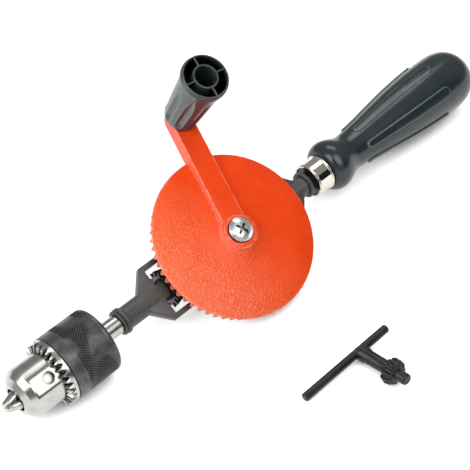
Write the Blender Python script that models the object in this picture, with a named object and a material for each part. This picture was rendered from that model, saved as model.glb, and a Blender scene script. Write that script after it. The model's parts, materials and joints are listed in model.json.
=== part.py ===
"""Hand drill: a cranked gear wheel turns a keyed three-jaw chuck through a bevel pinion.

The drill lies at rest on a bench, on its chuck sleeve, its handle and the rim of its
gear wheel, with its loose chuck key beside it. Lengths are in metres, +Z is up, and
the origin is on the bench, under the middle of the drill and key together.

Inside the drill two lines meet at one point: the drive line, on which the chuck,
the spindle, the idler and the handle lie, and the wheel line, square to it.
"""

import math

import bmesh
import bpy
from mathutils import Matrix, Vector

for old_object in list(bpy.data.objects):
    bpy.data.objects.remove(old_object, do_unlink=True)

MM = 0.001

# Clearances and working allowances
TOUCH_GAP = 0.3 * MM
CUT_OVERRUN = 2.0 * MM
SMOOTH_ANGLE = math.radians(32)

# Gear wheel, distances up the wheel line from the drive line
WHEEL_RADIUS = 42.5 * MM
RIM_PAST_GEAR = 1.9 * MM
GEAR_RADIUS = WHEEL_RADIUS - RIM_PAST_GEAR
WHEEL_TEETH = 60
PINION_TEETH = 14
GEAR_FACE = 6.8 * MM
TOOTH_ADDENDUM = 1.05 * MM
TOOTH_DEDENDUM = 1.6 * MM
TOOTH_BACKLASH = 0.26 * MM
PRESSURE_ANGLE = math.radians(20)
RIM_HEIGHT = 17.6 * MM
RIM_ROUNDING = 1.2 * MM
RIM_SKIRT = 2.4 * MM
DOME_RISE = 3.9 * MM
DOME_WALL = 3.4 * MM
WHEEL_HUB_RADIUS = 9.3 * MM
SCREW_RING_RADIUS = 8.2 * MM
SCREW_RING_HEIGHT = 24.7 * MM
SCREW_RECESS_RADIUS = 6.55 * MM
SCREW_RECESS_DEPTH = 1.6 * MM

# Crank arm, cast in one with the wheel
CRANK_RADIUS = 65.0 * MM
CRANK_AZIMUTH = math.radians(76.6)
ARM_SLOPE = math.radians(3.5)
ARM_HEIGHT_AT_AXIS = 24.2 * MM
ARM_THICKNESS = 6.4 * MM
ARM_HUB_RADIUS = 9.3 * MM
ARM_ROOT_WIDTH = 12.2 * MM
ARM_TIP_WIDTH = 11.4 * MM
ARM_EDGE_BEVEL = 0.4 * MM
ARM_DRAFT = 0.9 * MM

# Crank knob, distances along its own pin from the arm
KNOB_LENGTH = 42.0 * MM
KNOB_FOOT_RADIUS = 8.5 * MM
KNOB_SHOULDER_RADIUS = 11.2 * MM
KNOB_LIP_RADIUS = 11.9 * MM
KNOB_LIP_LENGTH = 3.8 * MM
KNOB_MOUTH_RADIUS = 10.7 * MM
KNOB_TUBE_RADIUS = 6.4 * MM
KNOB_TUBE_WALL = 1.0 * MM
KNOB_RIB = 0.8 * MM
KNOB_FLUTES = 8
KNOB_FLUTE_DEPTH = 0.8 * MM
KNOB_FLOOR = 13.0 * MM
KNOB_PIN_RADIUS = 3.0 * MM
KNOB_PIN_HEAD_RADIUS = 4.6 * MM
KNOB_PIN_HEAD = 2.2 * MM
KNOB_PIN_FOOT = 1.2 * MM
KNOB_WASHER = 0.8 * MM

# Screw, bush and washers that hold the wheel
WHEEL_SCREW_RADIUS = 3.0 * MM
WHEEL_SCREW_HEAD_RADIUS = 6.15 * MM
WHEEL_SCREW_HEAD = 2.9 * MM
CROSS_SLOT_WIDTH = 1.3 * MM
CROSS_SLOT_LENGTH = 6.2 * MM
CROSS_SLOT_DEPTH = 1.5 * MM
WHEEL_BUSH_RADIUS = 4.6 * MM
HEAD_WASHER = 0.9 * MM
HEAD_WASHER_RADIUS = 6.0 * MM
THRUST_WASHER = 0.9 * MM
THRUST_WASHER_RADIUS = 8.6 * MM

# Cast frame, its windows as far out as the pinions need, and lengths from there
FRAME_THICKNESS = 9.0 * MM
FRAME_DRAFT = 1.3 * MM
FRAME_WIDTH = 30.6 * MM
FRAME_BEVEL = 0.7 * MM
WINDOW_WIDTH = 25.0 * MM
CENTRE_WEB = 28.0 * MM
FRONT_PINION_ROOM = 3.7 * MM
REAR_PINION_ROOM = 2.2 * MM
FRONT_WINDOW_END = GEAR_RADIUS + FRONT_PINION_ROOM
REAR_WINDOW_END = GEAR_RADIUS + REAR_PINION_ROOM
WINDOW_LIP = 1.3 * MM
FLANK_LENGTH = 8.8 * MM
FRAME_BOSS_RADIUS = 9.0 * MM
FRAME_BOSS_HEIGHT = 7.4 * MM
NOSE_TUBE_RADIUS = 5.9 * MM
NOSE_TUBE_LENGTH = 24.0 * MM
NOSE_TUBE_END = FRONT_WINDOW_END + NOSE_TUBE_LENGTH
NOSE_COLLAR_RADIUS = 6.9 * MM
NOSE_COLLAR_LENGTH = 2.0 * MM
STEM_RADIUS = 5.6 * MM
STEM_COLLAR_RADIUS = 7.3 * MM
STEM_LENGTH = 15.1 * MM
STEM_COLLAR_PLACE = REAR_WINDOW_END + STEM_LENGTH
STEM_COLLAR_LENGTH = 2.3 * MM
TANG_RADIUS = 4.5 * MM
TANG_LENGTH = 70.1 * MM
TANG_END = STEM_COLLAR_PLACE + TANG_LENGTH

# Spindle and pinions
SPINDLE_SHOULDER_RADIUS = 4.95 * MM
SPINDLE_RADIUS = 4.0 * MM
SPINDLE_JOURNAL_RADIUS = 3.4 * MM
SPINDLE_JOURNAL_LENGTH = 5.2 * MM
SPINDLE_THREAD_RADIUS = 4.6 * MM
NOSE_WASHER = 1.3 * MM
NOSE_WASHER_RADIUS = 6.7 * MM
PINION_HUB_RADIUS = 6.4 * MM
PINION_HUB_LENGTH = 6.6 * MM
PINION_PIN_RADIUS = 1.5 * MM
IDLER_PIN_RADIUS = 3.0 * MM

# Chuck, lengths ahead of its rear end, which the spindle holds off the frame's nose
SPINDLE_SHOWN = 13.7 * MM
CHUCK_REAR = NOSE_TUBE_END + SPINDLE_SHOWN
SLEEVE_RADIUS = 17.05 * MM
SLEEVE_WALL = 2.05 * MM
SLEEVE_LIP = 1.6 * MM
SLEEVE_ROUNDING = 1.5 * MM
SLEEVE_LENGTH = 25.4 * MM
RING_REAR = CHUCK_REAR + SLEEVE_LENGTH
RING_RADIUS = 16.95 * MM
RING_BAND = 2.9 * MM
RING_TEETH = 30
KEY_TEETH = 11
RING_ADDENDUM = 1.6 * MM
RING_DEDENDUM = 1.1 * MM
RING_CHAMFER = 0.8 * MM
BODY_RADIUS = 13.0 * MM
BODY_REAR_RADIUS = 12.7 * MM
NUT_GROOVE_RADIUS = 9.4 * MM
NUT_LENGTH = 5.8 * MM
BODY_LENGTH = 44.1 * MM
BODY_SHOULDER = CHUCK_REAR + BODY_LENGTH
DOME_AHEAD = 47.1 * MM
DOME_PLACE = CHUCK_REAR + DOME_AHEAD
DOME_RADIUS = 10.9 * MM
CHUCK_LENGTH = 49.4 * MM
NOSE_FACE = CHUCK_REAR + CHUCK_LENGTH
NOSE_RADIUS = 7.8 * MM
NOSE_BORE_RADIUS = 6.1 * MM
NOSE_BORE_DEPTH = 2.6 * MM
SHANK_BORE_RADIUS = 3.2 * MM
SPINDLE_ENTRY = 15.5 * MM
PILOT_AHEAD = 34.4 * MM
PILOT_PLACE = CHUCK_REAR + PILOT_AHEAD
PILOT_HOLE_RADIUS = 3.1 * MM
PILOT_HOLE_DEPTH = 4.6 * MM
PILOT_FLAT_WIDTH = 8.6 * MM
PILOT_FLAT_AHEAD = 43.4 * MM
PILOT_FLAT_END = CHUCK_REAR + PILOT_FLAT_AHEAD
PILOT_FLAT_DEPTH = 1.5 * MM
PILOT_AZIMUTH = math.radians(-6)

# Jaws
JAW_COUNT = 3
JAW_SLANT = math.radians(13)
JAW_RADIUS = 2.7 * MM
JAW_OUTSIDE_AT_NOSE = 5.1 * MM
JAW_AHEAD = 55.8 * MM
JAW_TIP = CHUCK_REAR + JAW_AHEAD
JAW_TIP_RADIUS = 2.5 * MM
JAW_TIP_TAPER = math.radians(20)
JAW_REAR_RADIUS = 10.2 * MM
CHUCK_CAPACITY = 9.0 * MM

# Handle and ferrule, lengths behind the ferrule's front end
FERRULE_STAND_OFF = 4.3 * MM
FERRULE_FRONT = STEM_COLLAR_PLACE + FERRULE_STAND_OFF
FERRULE_LENGTH = 10.6 * MM
FERRULE_RADIUS = 9.2 * MM
FERRULE_WALL = 0.8 * MM
FERRULE_BEAD = 0.45 * MM
HANDLE_BULGE_RADIUS = 13.9 * MM
HANDLE_BULGE_BEHIND = 17.3 * MM
HANDLE_BULGE_PLACE = FERRULE_FRONT + HANDLE_BULGE_BEHIND
HANDLE_WAIST_RADIUS = 10.4 * MM
HANDLE_WAIST_BEHIND = 30.3 * MM
HANDLE_WAIST_PLACE = FERRULE_FRONT + HANDLE_WAIST_BEHIND
HANDLE_GRIP_RADIUS = 16.9 * MM
HANDLE_GRIP_BEHIND = 102.8 * MM
HANDLE_GRIP_PLACE = FERRULE_FRONT + HANDLE_GRIP_BEHIND
HANDLE_END_BEHIND = 126.4 * MM
HANDLE_END = FERRULE_FRONT + HANDLE_END_BEHIND
HANDLE_PADS = 6
HANDLE_PAD_HEIGHT = 0.9 * MM
HANDLE_PAD_BEHIND = 36.8 * MM
HANDLE_PAD_START = FERRULE_FRONT + HANDLE_PAD_BEHIND
HANDLE_PAD_END_BEHIND = 98.3 * MM
HANDLE_PAD_END = FERRULE_FRONT + HANDLE_PAD_END_BEHIND
HANDLE_PAD_SLOPE = 0.9 * MM
HANDLE_SOCKET_CLEARANCE = 0.4 * MM

# Chuck key and its place on the bench
KEY_BAR_RADIUS = 2.15 * MM
KEY_BAR_LENGTH = 55.8 * MM
KEY_BAR_LONG_SIDE = 36.8 * MM
KEY_SHANK_RADIUS = 3.4 * MM
KEY_HEAD_RADIUS = 3.9 * MM
KEY_HEAD_START = 1.1 * MM
KEY_HEAD_LENGTH = 5.0 * MM
KEY_TENON_RADIUS = 1.1 * MM
KEY_BAR_TO_GEAR = 18.9 * MM
KEY_GEAR_RADIUS = 6.65 * MM
KEY_GEAR_LENGTH = 6.2 * MM
KEY_TOOTH_DEPTH = 1.5 * MM
KEY_PILOT_RADIUS = 2.85 * MM
KEY_PILOT_LENGTH = 5.6 * MM
KEY_BEHIND_WHEEL_LINE = 1.7 * MM
KEY_OUTSIDE_KNOB_CIRCLE = 1.9 * MM
KEY_TURN = math.radians(-91.8)

# Shapes, as shares of the sizes above, powers of a curve and angles
DOME_POWER = 1.5
DOME_RING_SHARES = (0.45, 0.74)
HEAD_EDGE_SHARE = 0.42
HEAD_CROWN_SHARE = 0.72
CROSS_TURN = math.radians(28)
KNOB_SWELL_POWER = 0.8
KNOB_FLUTE_SHARES = (0.10, 0.22, 0.40, 0.58, 0.74, 0.80)
KNOB_FLUTE_DEPTH_SHARES = (0.55, 1.0, 1.0, 0.95, 0.6, 0)
KNOB_RIB_TURN = math.radians(50)
POCKET_WALL_SHARES = (-1, -2 / 3, -1 / 3, 0, 1 / 3, 2 / 3, 1)
NECK_SHARE = 0.9
PINION_FLANK_SHARES = ((-1, 0.50), (-0.45, 0.53), (0, 0.48), (0.55, 0.36), (1, 0.23))
RING_ROOT_SHARE = 0.42
RING_TIP_SHARE = 0.08
HANDLE_SWELL_POWER = 0.78
HANDLE_END_POWER = 3.2
HANDLE_FRONT_SHARES = (0.0, 0.25, 0.7, 1.0)
HANDLE_NECK_SHARES = (0.35, 0.7, 1.0)
HANDLE_END_SHARES = (0.0, 0.3, 0.55, 0.76, 0.9, 0.98)
HANDLE_TURN = math.radians(23)
PAD_FOOT_ANGLE = math.radians(12)
PAD_TOP_ANGLE = math.radians(9)
KEY_GEAR_CROWN_SHARE = 0.3
KEY_GEAR_NARROW_SHARE = 0.72
KEY_ROOT_SHARE = 0.34
KEY_TIP_SHARE = 0.14

# How many flats stand for each round, and how finely two points count as one
DOME_COUNT = 60
HUB_COUNT = 30
SLEEVE_SIDES = 40
BODY_SIDES = 36
FERRULE_SIDES = 32
TUBE_SIDES = 24
SCREW_SIDES = 28
WASHER_SIDES = 24
PIN_SIDES = 16
JAW_SIDES = 16
SMALL_SIDES = 12
NUT_HALF_SIDES = 14
WEDGE_SIDES = 10
ARM_HUB_STEPS = 18
ARM_TIP_STEPS = 8
KNOB_STATIONS = 4
HANDLE_PAD_RINGS = 6
WELD_SHARE = 100000

# Finishes, as base colour, roughness and metallic value
FINISHES = {
    "orange_cast_paint": ((0.84, 0.075, 0.012, 1), 0.38, 0.0),
    "dark_cast_paint": ((0.075, 0.075, 0.07, 1), 0.42, 0.0),
    "handle_plastic": ((0.035, 0.052, 0.058, 1), 0.36, 0.0),
    "knob_plastic": ((0.09, 0.115, 0.12, 1), 0.42, 0.0),
    "bright_steel": ((0.66, 0.65, 0.62, 1), 0.24, 1.0),
    "black_oxide_steel": ((0.045, 0.047, 0.05, 1), 0.42, 0.75),
    "nickel_plate": ((0.78, 0.74, 0.68, 1), 0.1, 1.0),
    "zinc_plate": ((0.72, 0.74, 0.74, 1), 0.22, 1.0),
    "plain_steel": ((0.42, 0.41, 0.4, 1), 0.4, 1.0),
    "black_key_steel": ((0.022, 0.022, 0.021, 1), 0.4, 0.6),
}


def finish(name):
    """The material of this name, made when it is first asked for."""
    known = bpy.data.materials.get(name)
    if known:
        return known
    colour, roughness, metallic = FINISHES[name]
    made = bpy.data.materials.new(name)
    made.use_nodes = True
    made.diffuse_color = colour
    shader = made.node_tree.nodes["Principled BSDF"]
    shader.inputs["Base Color"].default_value = colour
    shader.inputs["Roughness"].default_value = roughness
    shader.inputs["Metallic"].default_value = metallic
    return made


def frame_empty(name, parent, matrix):
    """An empty that carries pieces: its local axes are the columns of the matrix."""
    empty = bpy.data.objects.new(name, None)
    bpy.context.scene.collection.objects.link(empty)
    empty.empty_display_size = WHEEL_HUB_RADIUS
    empty.parent = parent
    empty.matrix_local = matrix
    return empty


def axes(x_axis, y_axis, z_axis, place=(0, 0, 0)):
    """A placing matrix from three unit axes and a place."""
    turn = Matrix((x_axis, y_axis, z_axis)).transposed().to_4x4()
    return Matrix.Translation(place) @ turn


def piece(name, shape, parent, finish_name, matrix=None):
    """A visible piece made from a bmesh, carried by an empty."""
    bmesh.ops.recalc_face_normals(shape, faces=shape.faces)
    mesh = bpy.data.meshes.new(name)
    shape.to_mesh(mesh)
    shape.free()
    mesh.shade_smooth()
    mesh.set_sharp_from_angle(angle=SMOOTH_ANGLE)
    made = bpy.data.objects.new(name, mesh)
    bpy.context.scene.collection.objects.link(made)
    made.parent = parent
    if matrix is not None:
        made.matrix_local = matrix
    mesh.materials.append(finish(finish_name))
    return made


def helper(name, shape, parent, matrix=None):
    """A hidden solid that only cuts, trims or extends a piece."""
    made = piece(name, shape, parent, "plain_steel", matrix)
    made.hide_render = True
    made.display_type = "WIRE"
    return made


def combine(target, tool, operation):
    modifier = target.modifiers.new(tool.name, "BOOLEAN")
    modifier.object = tool
    modifier.operation = operation
    modifier.solver = "EXACT"


def cut(target, tool):
    combine(target, tool, "DIFFERENCE")


def fuse(target, tool):
    combine(target, tool, "UNION")


def spun(profile, sides, bored=False, angle=math.tau):
    """Turns a profile of (radius, height) points about local Z.

    A bored profile is a closed loop. Any other starts and ends on the axis. Less than
    a full turn gives a sector, closed by the profile at both ends.
    """
    shape = bmesh.new()
    points = [shape.verts.new((radius, 0, height)) for radius, height in profile]
    edges = [shape.edges.new(pair) for pair in zip(points, points[1:])]
    whole = angle == math.tau
    if bored or not whole:
        edges.append(shape.edges.new((points[-1], points[0])))
    if not whole:
        shape.faces.new(points)
    bmesh.ops.spin(
        shape,
        geom=points + edges + list(shape.faces),
        cent=(0, 0, 0),
        axis=(0, 0, 1),
        angle=angle,
        steps=sides,
    )
    reach = max(abs(value) for point in profile for value in point)
    bmesh.ops.remove_doubles(shape, verts=shape.verts, dist=reach / WELD_SHARE)
    return shape


def circle(radius, height, count, turn=0.0):
    """Points round local Z, the first at the angle of turn."""
    return [
        Vector((radius * math.cos(a), radius * math.sin(a), height))
        for a in (turn + math.tau * k / count for k in range(count))
    ]


def bridge(shape, ring, after):
    """Faces between two rings, whose counts are equal or a whole multiple."""
    if len(ring) > len(after):
        ring, after = after, ring
    step = len(after) // len(ring)
    for k in range(len(ring)):
        far = [after[(step * k + j) % len(after)] for j in range(step, -1, -1)]
        near = [ring[k], ring[(k + 1) % len(ring)]] if len(ring) > 1 else [ring[0]]
        shape.faces.new(near + far)


def skinned(rings):
    """Closes a row of rings into one skin, with a flat cap on the first and the last."""
    shape = bmesh.new()
    made = [[shape.verts.new(point) for point in ring] for ring in rings]
    for ring, after in zip(made, made[1:]):
        bridge(shape, ring, after)
    for cap in (made[0], made[-1]):
        shape.faces.new(cap)
    return shape


def prism(outline, bottom, top):
    """Raises a flat outline from bottom to top along local Z."""
    shape = bmesh.new()
    face = shape.faces.new([shape.verts.new((x, y, bottom)) for x, y in outline])
    raised = bmesh.ops.extrude_face_region(shape, geom=[face])["geom"]
    moved = [part for part in raised if isinstance(part, bmesh.types.BMVert)]
    bmesh.ops.translate(shape, verts=moved, vec=(0, 0, top - bottom))
    return shape


def block(low, high):
    """A box between two corners."""
    outline = [(low[0], low[1]), (high[0], low[1]), (high[0], high[1]), (low[0], high[1])]
    return prism(outline, low[2], high[2])


def arc(centre_x, radius, start, end, count):
    """Points on an arc whose centre is on local X."""
    return [
        (centre_x + radius * math.cos(a), radius * math.sin(a))
        for a in (start + (end - start) * k / count for k in range(count + 1))
    ]


def blend(start, end, share):
    """A smooth S from start to end."""
    return start + (end - start) * (1 - math.cos(math.pi * share)) / 2


def handle_radius(place):
    """The handle's outline: front bulge, waist, long swell and rounded end."""
    if place < HANDLE_BULGE_PLACE:
        front = FERRULE_FRONT + FERRULE_LENGTH + TOUCH_GAP
        share = (HANDLE_BULGE_PLACE - place) / (HANDLE_BULGE_PLACE - front)
        drop = (HANDLE_BULGE_RADIUS - FERRULE_RADIUS) * (1 - math.sqrt(1 - share**2))
        return HANDLE_BULGE_RADIUS - drop
    if place < HANDLE_WAIST_PLACE:
        share = (place - HANDLE_BULGE_PLACE) / (HANDLE_WAIST_PLACE - HANDLE_BULGE_PLACE)
        return blend(HANDLE_BULGE_RADIUS, HANDLE_WAIST_RADIUS, share)
    if place < HANDLE_GRIP_PLACE:
        share = (place - HANDLE_WAIST_PLACE) / (HANDLE_GRIP_PLACE - HANDLE_WAIST_PLACE)
        return blend(HANDLE_WAIST_RADIUS, HANDLE_GRIP_RADIUS, share**HANDLE_SWELL_POWER)
    share = (place - HANDLE_GRIP_PLACE) / (HANDLE_END - HANDLE_GRIP_PLACE)
    return HANDLE_GRIP_RADIUS * (1 - min(share, 1) ** HANDLE_END_POWER) ** (1 / 2)


# How the drill lies: the sleeve, the handle and the wheel's tooth tips touch the bench
SLEEVE_MIDDLE = (CHUCK_REAR + RING_REAR) / 2
PAD_TOP_END = HANDLE_PAD_END - HANDLE_PAD_SLOPE
PAD_RADIUS = handle_radius(PAD_TOP_END) + HANDLE_PAD_HEIGHT
REST_PITCH = math.asin((PAD_RADIUS - SLEEVE_RADIUS) / (PAD_TOP_END + SLEEVE_MIDDLE))
REST_HEIGHT = SLEEVE_RADIUS + SLEEVE_MIDDLE * math.sin(REST_PITCH)

# The pitch cones of the wheel and the pinions meet where the two lines cross
WHEEL_CONE = math.atan(WHEEL_TEETH / PINION_TEETH)
PINION_CONE = math.pi / 2 - WHEEL_CONE
PITCH_HEIGHT = GEAR_RADIUS / math.tan(WHEEL_CONE)
TOOTH_TIP_RADIUS = GEAR_RADIUS + TOOTH_ADDENDUM * math.cos(WHEEL_CONE)
TOOTH_TIP_HEIGHT = PITCH_HEIGHT - TOOTH_ADDENDUM * math.sin(WHEEL_CONE)
TOOTH_ROOT_RADIUS = GEAR_RADIUS - TOOTH_DEDENDUM * math.cos(WHEEL_CONE)
TOOTH_ROOT_HEIGHT = PITCH_HEIGHT + TOOTH_DEDENDUM * math.sin(WHEEL_CONE)
GEAR_INNER_SHARE = (GEAR_RADIUS - GEAR_FACE) / GEAR_RADIUS
TOOTH_PITCH = math.tau * GEAR_RADIUS / WHEEL_TEETH

REST_ROLL = math.asin(REST_HEIGHT / math.hypot(TOOTH_TIP_RADIUS, TOOTH_TIP_HEIGHT)) + math.atan2(
    TOOTH_TIP_HEIGHT, TOOTH_TIP_RADIUS
)

# The key lies just outside the circle that the crank knob sweeps, leaning as the wheel does
KNOB_CIRCLE = CRANK_RADIUS + KNOB_LIP_RADIUS + KEY_BAR_RADIUS + KEY_OUTSIDE_KNOB_CIRCLE
KEY_BESIDE_DRIVE_LINE = (
    KNOB_CIRCLE - (REST_HEIGHT - KEY_BAR_RADIUS) * math.sin(REST_ROLL)
) / math.cos(REST_ROLL)

X = Vector((1, 0, 0))
Y = Vector((0, 1, 0))
Z = Vector((0, 0, 1))

bench = frame_empty("bench", None, Matrix())
drill = frame_empty(
    "drill_frame",
    bench,
    Matrix.Translation((0, 0, REST_HEIGHT))
    @ Matrix.Rotation(-REST_PITCH, 4, "Y")
    @ Matrix.Rotation(REST_ROLL, 4, "X"),
)
drive_line = frame_empty("drive_line", drill, axes(Z, Y, -X))
handle_line = frame_empty("handle_line", drill, axes(Z, -Y, X))
wheel_line = frame_empty("wheel_line", drill, Matrix())


def tooth_ring(teeth, scale, corners):
    """One ring of tooth corners about local Z.

    corners holds (half angle, radius, height) from the root up to the tip. Each tooth
    takes them up one flank and down the other, scaled towards the cone's point.
    """
    ring = []
    for tooth in range(teeth):
        middle = math.tau * (tooth + 1 / 2) / teeth
        rising = [(middle - half, radius, height) for half, radius, height in corners]
        falling = [(middle + half, radius, height) for half, radius, height in reversed(corners)]
        for angle, radius, height in rising + falling:
            turned = Vector((radius * math.cos(angle), radius * math.sin(angle), height))
            ring.append(turned * scale)
    return ring


def dome_height(radius):
    """The top of the wheel's disc: highest at the hub, steepening towards the rim."""
    return RIM_HEIGHT + DOME_RISE * (1 - (radius / WHEEL_RADIUS) ** DOME_POWER)


def wheel_rings():
    half_pitch_tooth = (TOOTH_PITCH / 2 - TOOTH_BACKLASH) / 2
    half_tip = half_pitch_tooth - TOOTH_ADDENDUM * math.tan(PRESSURE_ANGLE)
    half_root = half_pitch_tooth + TOOTH_DEDENDUM * math.tan(PRESSURE_ANGLE)
    corners = [
        (half_root / TOOTH_ROOT_RADIUS, TOOTH_ROOT_RADIUS, TOOTH_ROOT_HEIGHT),
        (half_tip / TOOTH_TIP_RADIUS, TOOTH_TIP_RADIUS, TOOTH_TIP_HEIGHT),
    ]
    ring_corner = RIM_ROUNDING / 3
    seat_radius = TOOTH_ROOT_RADIUS * GEAR_INNER_SHARE - RIM_ROUNDING
    under_rim = dome_height(seat_radius) - DOME_WALL
    under_hub = dome_height(WHEEL_HUB_RADIUS) - DOME_WALL
    hub_foot = FRAME_BOSS_HEIGHT + THRUST_WASHER + 2 * TOUCH_GAP
    dome = [WHEEL_RADIUS * share for share in DOME_RING_SHARES]
    return [
        circle(SCREW_RING_RADIUS - ring_corner, SCREW_RING_HEIGHT, HUB_COUNT),
        circle(SCREW_RING_RADIUS, SCREW_RING_HEIGHT - ring_corner, HUB_COUNT),
        circle(SCREW_RING_RADIUS, dome_height(SCREW_RING_RADIUS), HUB_COUNT),
        *[circle(radius, dome_height(radius), DOME_COUNT) for radius in dome],
        circle(WHEEL_RADIUS - RIM_ROUNDING, RIM_HEIGHT, DOME_COUNT),
        circle(WHEEL_RADIUS - RIM_ROUNDING / 3, RIM_HEIGHT - RIM_ROUNDING / 3, DOME_COUNT),
        circle(WHEEL_RADIUS, RIM_HEIGHT - RIM_ROUNDING, DOME_COUNT),
        circle(TOOTH_TIP_RADIUS, RIM_HEIGHT - RIM_SKIRT, DOME_COUNT),
        tooth_ring(WHEEL_TEETH, 1, corners),
        tooth_ring(WHEEL_TEETH, GEAR_INNER_SHARE, corners),
        circle(seat_radius, under_rim, DOME_COUNT),
        circle(WHEEL_HUB_RADIUS + RIM_ROUNDING, under_hub, HUB_COUNT),
        circle(WHEEL_HUB_RADIUS, under_hub - RIM_ROUNDING, HUB_COUNT),
        circle(WHEEL_HUB_RADIUS, hub_foot, HUB_COUNT),
    ]


def arm_matrix():
    """The arm's frame: X outward along the arm's top face, Z square to that face."""
    outward = Matrix.Rotation(CRANK_AZIMUTH, 3, "Z") @ X
    along = outward * math.cos(ARM_SLOPE) - Z * math.sin(ARM_SLOPE)
    square = outward * math.sin(ARM_SLOPE) + Z * math.cos(ARM_SLOPE)
    return axes(along, square.cross(along), square, (0, 0, ARM_HEIGHT_AT_AXIS))


def arm_outline(spread, height):
    """Round at the hub and round at the knob, tapering between them."""
    hub = ARM_HUB_RADIUS + spread
    tip = ARM_TIP_WIDTH / 2 + spread
    root_angle = math.asin((ARM_ROOT_WIDTH / 2 + spread) / hub)
    hub_end = arc(0, hub, root_angle, math.tau - root_angle, ARM_HUB_STEPS)
    knob_end = arc(CRANK_RADIUS, tip, -math.pi / 2, math.pi / 2, ARM_TIP_STEPS)
    return [Vector((x, y, height)) for x, y in hub_end + knob_end]


def arm_layers():
    """The arm is drafted: narrowest at its top face, whose edge is eased."""
    return [
        arm_outline(ARM_DRAFT, -ARM_THICKNESS),
        arm_outline(ARM_EDGE_BEVEL / 2, -ARM_EDGE_BEVEL),
        arm_outline(-ARM_EDGE_BEVEL / 2, 0),
    ]


def build_wheel():
    wheel = piece("drive_wheel", skinned(wheel_rings()), wheel_line, "orange_cast_paint")
    arm = helper("arm_casting", skinned(arm_layers()), wheel_line, arm_matrix())
    bore_radius = WHEEL_BUSH_RADIUS + TOUCH_GAP
    recess_floor = SCREW_RING_HEIGHT - SCREW_RECESS_DEPTH
    bore = [
        (0, 0),
        (bore_radius, 0),
        (bore_radius, recess_floor),
        (SCREW_RECESS_RADIUS, recess_floor),
        (SCREW_RECESS_RADIUS, SCREW_RING_HEIGHT + CUT_OVERRUN),
        (0, SCREW_RING_HEIGHT + CUT_OVERRUN),
    ]
    fuse(wheel, arm)
    cut(wheel, helper("wheel_bore", spun(bore, WASHER_SIDES), wheel_line))
    pin_hole = KNOB_PIN_RADIUS + TOUCH_GAP
    deep = ARM_THICKNESS + CUT_OVERRUN
    hole = [(0, -deep), (pin_hole, -deep), (pin_hole, CUT_OVERRUN), (0, CUT_OVERRUN)]
    cut(wheel, helper("knob_pin_hole", spun(hole, PIN_SIDES), knob_line))


knob_line = frame_empty(
    "knob_line", wheel_line, arm_matrix() @ Matrix.Translation((CRANK_RADIUS, 0, 0))
)


def build_wheel_fixings():
    """The screw, its washer, the bush that the wheel turns on, and the thrust washer."""
    seat = FRAME_BOSS_HEIGHT + TOUCH_GAP
    recess_floor = SCREW_RING_HEIGHT - SCREW_RECESS_DEPTH
    bush_top = recess_floor + TOUCH_GAP
    bush_bore = WHEEL_SCREW_RADIUS + TOUCH_GAP
    bush = [
        (bush_bore, seat),
        (WHEEL_BUSH_RADIUS, seat),
        (WHEEL_BUSH_RADIUS, bush_top),
        (bush_bore, bush_top),
    ]
    piece("wheel_bush", spun(bush, WASHER_SIDES, True), wheel_line, "plain_steel")
    thrust_bore = WHEEL_BUSH_RADIUS + TOUCH_GAP
    thrust = [
        (thrust_bore, seat),
        (THRUST_WASHER_RADIUS, seat),
        (THRUST_WASHER_RADIUS, seat + THRUST_WASHER),
        (thrust_bore, seat + THRUST_WASHER),
    ]
    piece("wheel_thrust_washer", spun(thrust, WASHER_SIDES, True), wheel_line, "plain_steel")
    washer_low = bush_top + TOUCH_GAP
    washer_top = washer_low + HEAD_WASHER
    washer = [
        (bush_bore, washer_low),
        (HEAD_WASHER_RADIUS, washer_low),
        (HEAD_WASHER_RADIUS, washer_top),
        (bush_bore, washer_top),
    ]
    piece("screw_washer", spun(washer, WASHER_SIDES, True), wheel_line, "zinc_plate")
    head_low = washer_top + TOUCH_GAP
    head_top = head_low + WHEEL_SCREW_HEAD
    screw_end = FRAME_THICKNESS / 2 - TOUCH_GAP
    edge = WHEEL_SCREW_HEAD * HEAD_EDGE_SHARE
    crown = WHEEL_SCREW_HEAD_RADIUS * HEAD_CROWN_SHARE
    screw = [
        (0, -screw_end),
        (WHEEL_SCREW_RADIUS, -screw_end),
        (WHEEL_SCREW_RADIUS, head_low),
        (WHEEL_SCREW_HEAD_RADIUS, head_low),
        (WHEEL_SCREW_HEAD_RADIUS, head_low + edge),
        (crown, head_top - edge / 2),
        (crown / 2, head_top),
        (0, head_top),
    ]
    wheel_screw = piece("wheel_screw", spun(screw, SCREW_SIDES), wheel_line, "zinc_plate")
    reach = CROSS_SLOT_LENGTH / 2
    half = CROSS_SLOT_WIDTH / 2
    floor = head_top - CROSS_SLOT_DEPTH
    top = head_top + CUT_OVERRUN
    cross = [
        (reach, -half), (reach, half), (half, half), (half, reach), (-half, reach),
        (-half, half), (-reach, half), (-reach, -half), (-half, -half), (-half, -reach),
        (half, -reach), (half, -half),
    ]
    slots = helper("cross_slots", prism(cross, floor, top), wheel_line)
    slots.rotation_euler.z = CROSS_TURN
    cut(wheel_screw, slots)


def knob_radius(height):
    """The knob's outer radius without its flutes, from its rounded foot to its lip."""
    shoulder = KNOB_LENGTH - KNOB_LIP_LENGTH
    share = min(height / shoulder, 1)
    swell = math.sin(share ** KNOB_SWELL_POWER * math.pi / 2)
    return KNOB_FOOT_RADIUS + (KNOB_SHOULDER_RADIUS - KNOB_FOOT_RADIUS) * swell


def fluted_circle(radius, height, depth, flutes, stations):
    """A ring whose radius dips by depth in the middle of each flute."""
    count = flutes * stations
    ring = []
    for k in range(count):
        angle = math.tau * k / count
        dip = depth * (1 - math.cos(flutes * angle)) / 2
        at = radius - dip
        ring.append(Vector((at * math.cos(angle), at * math.sin(angle), height)))
    return ring


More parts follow.
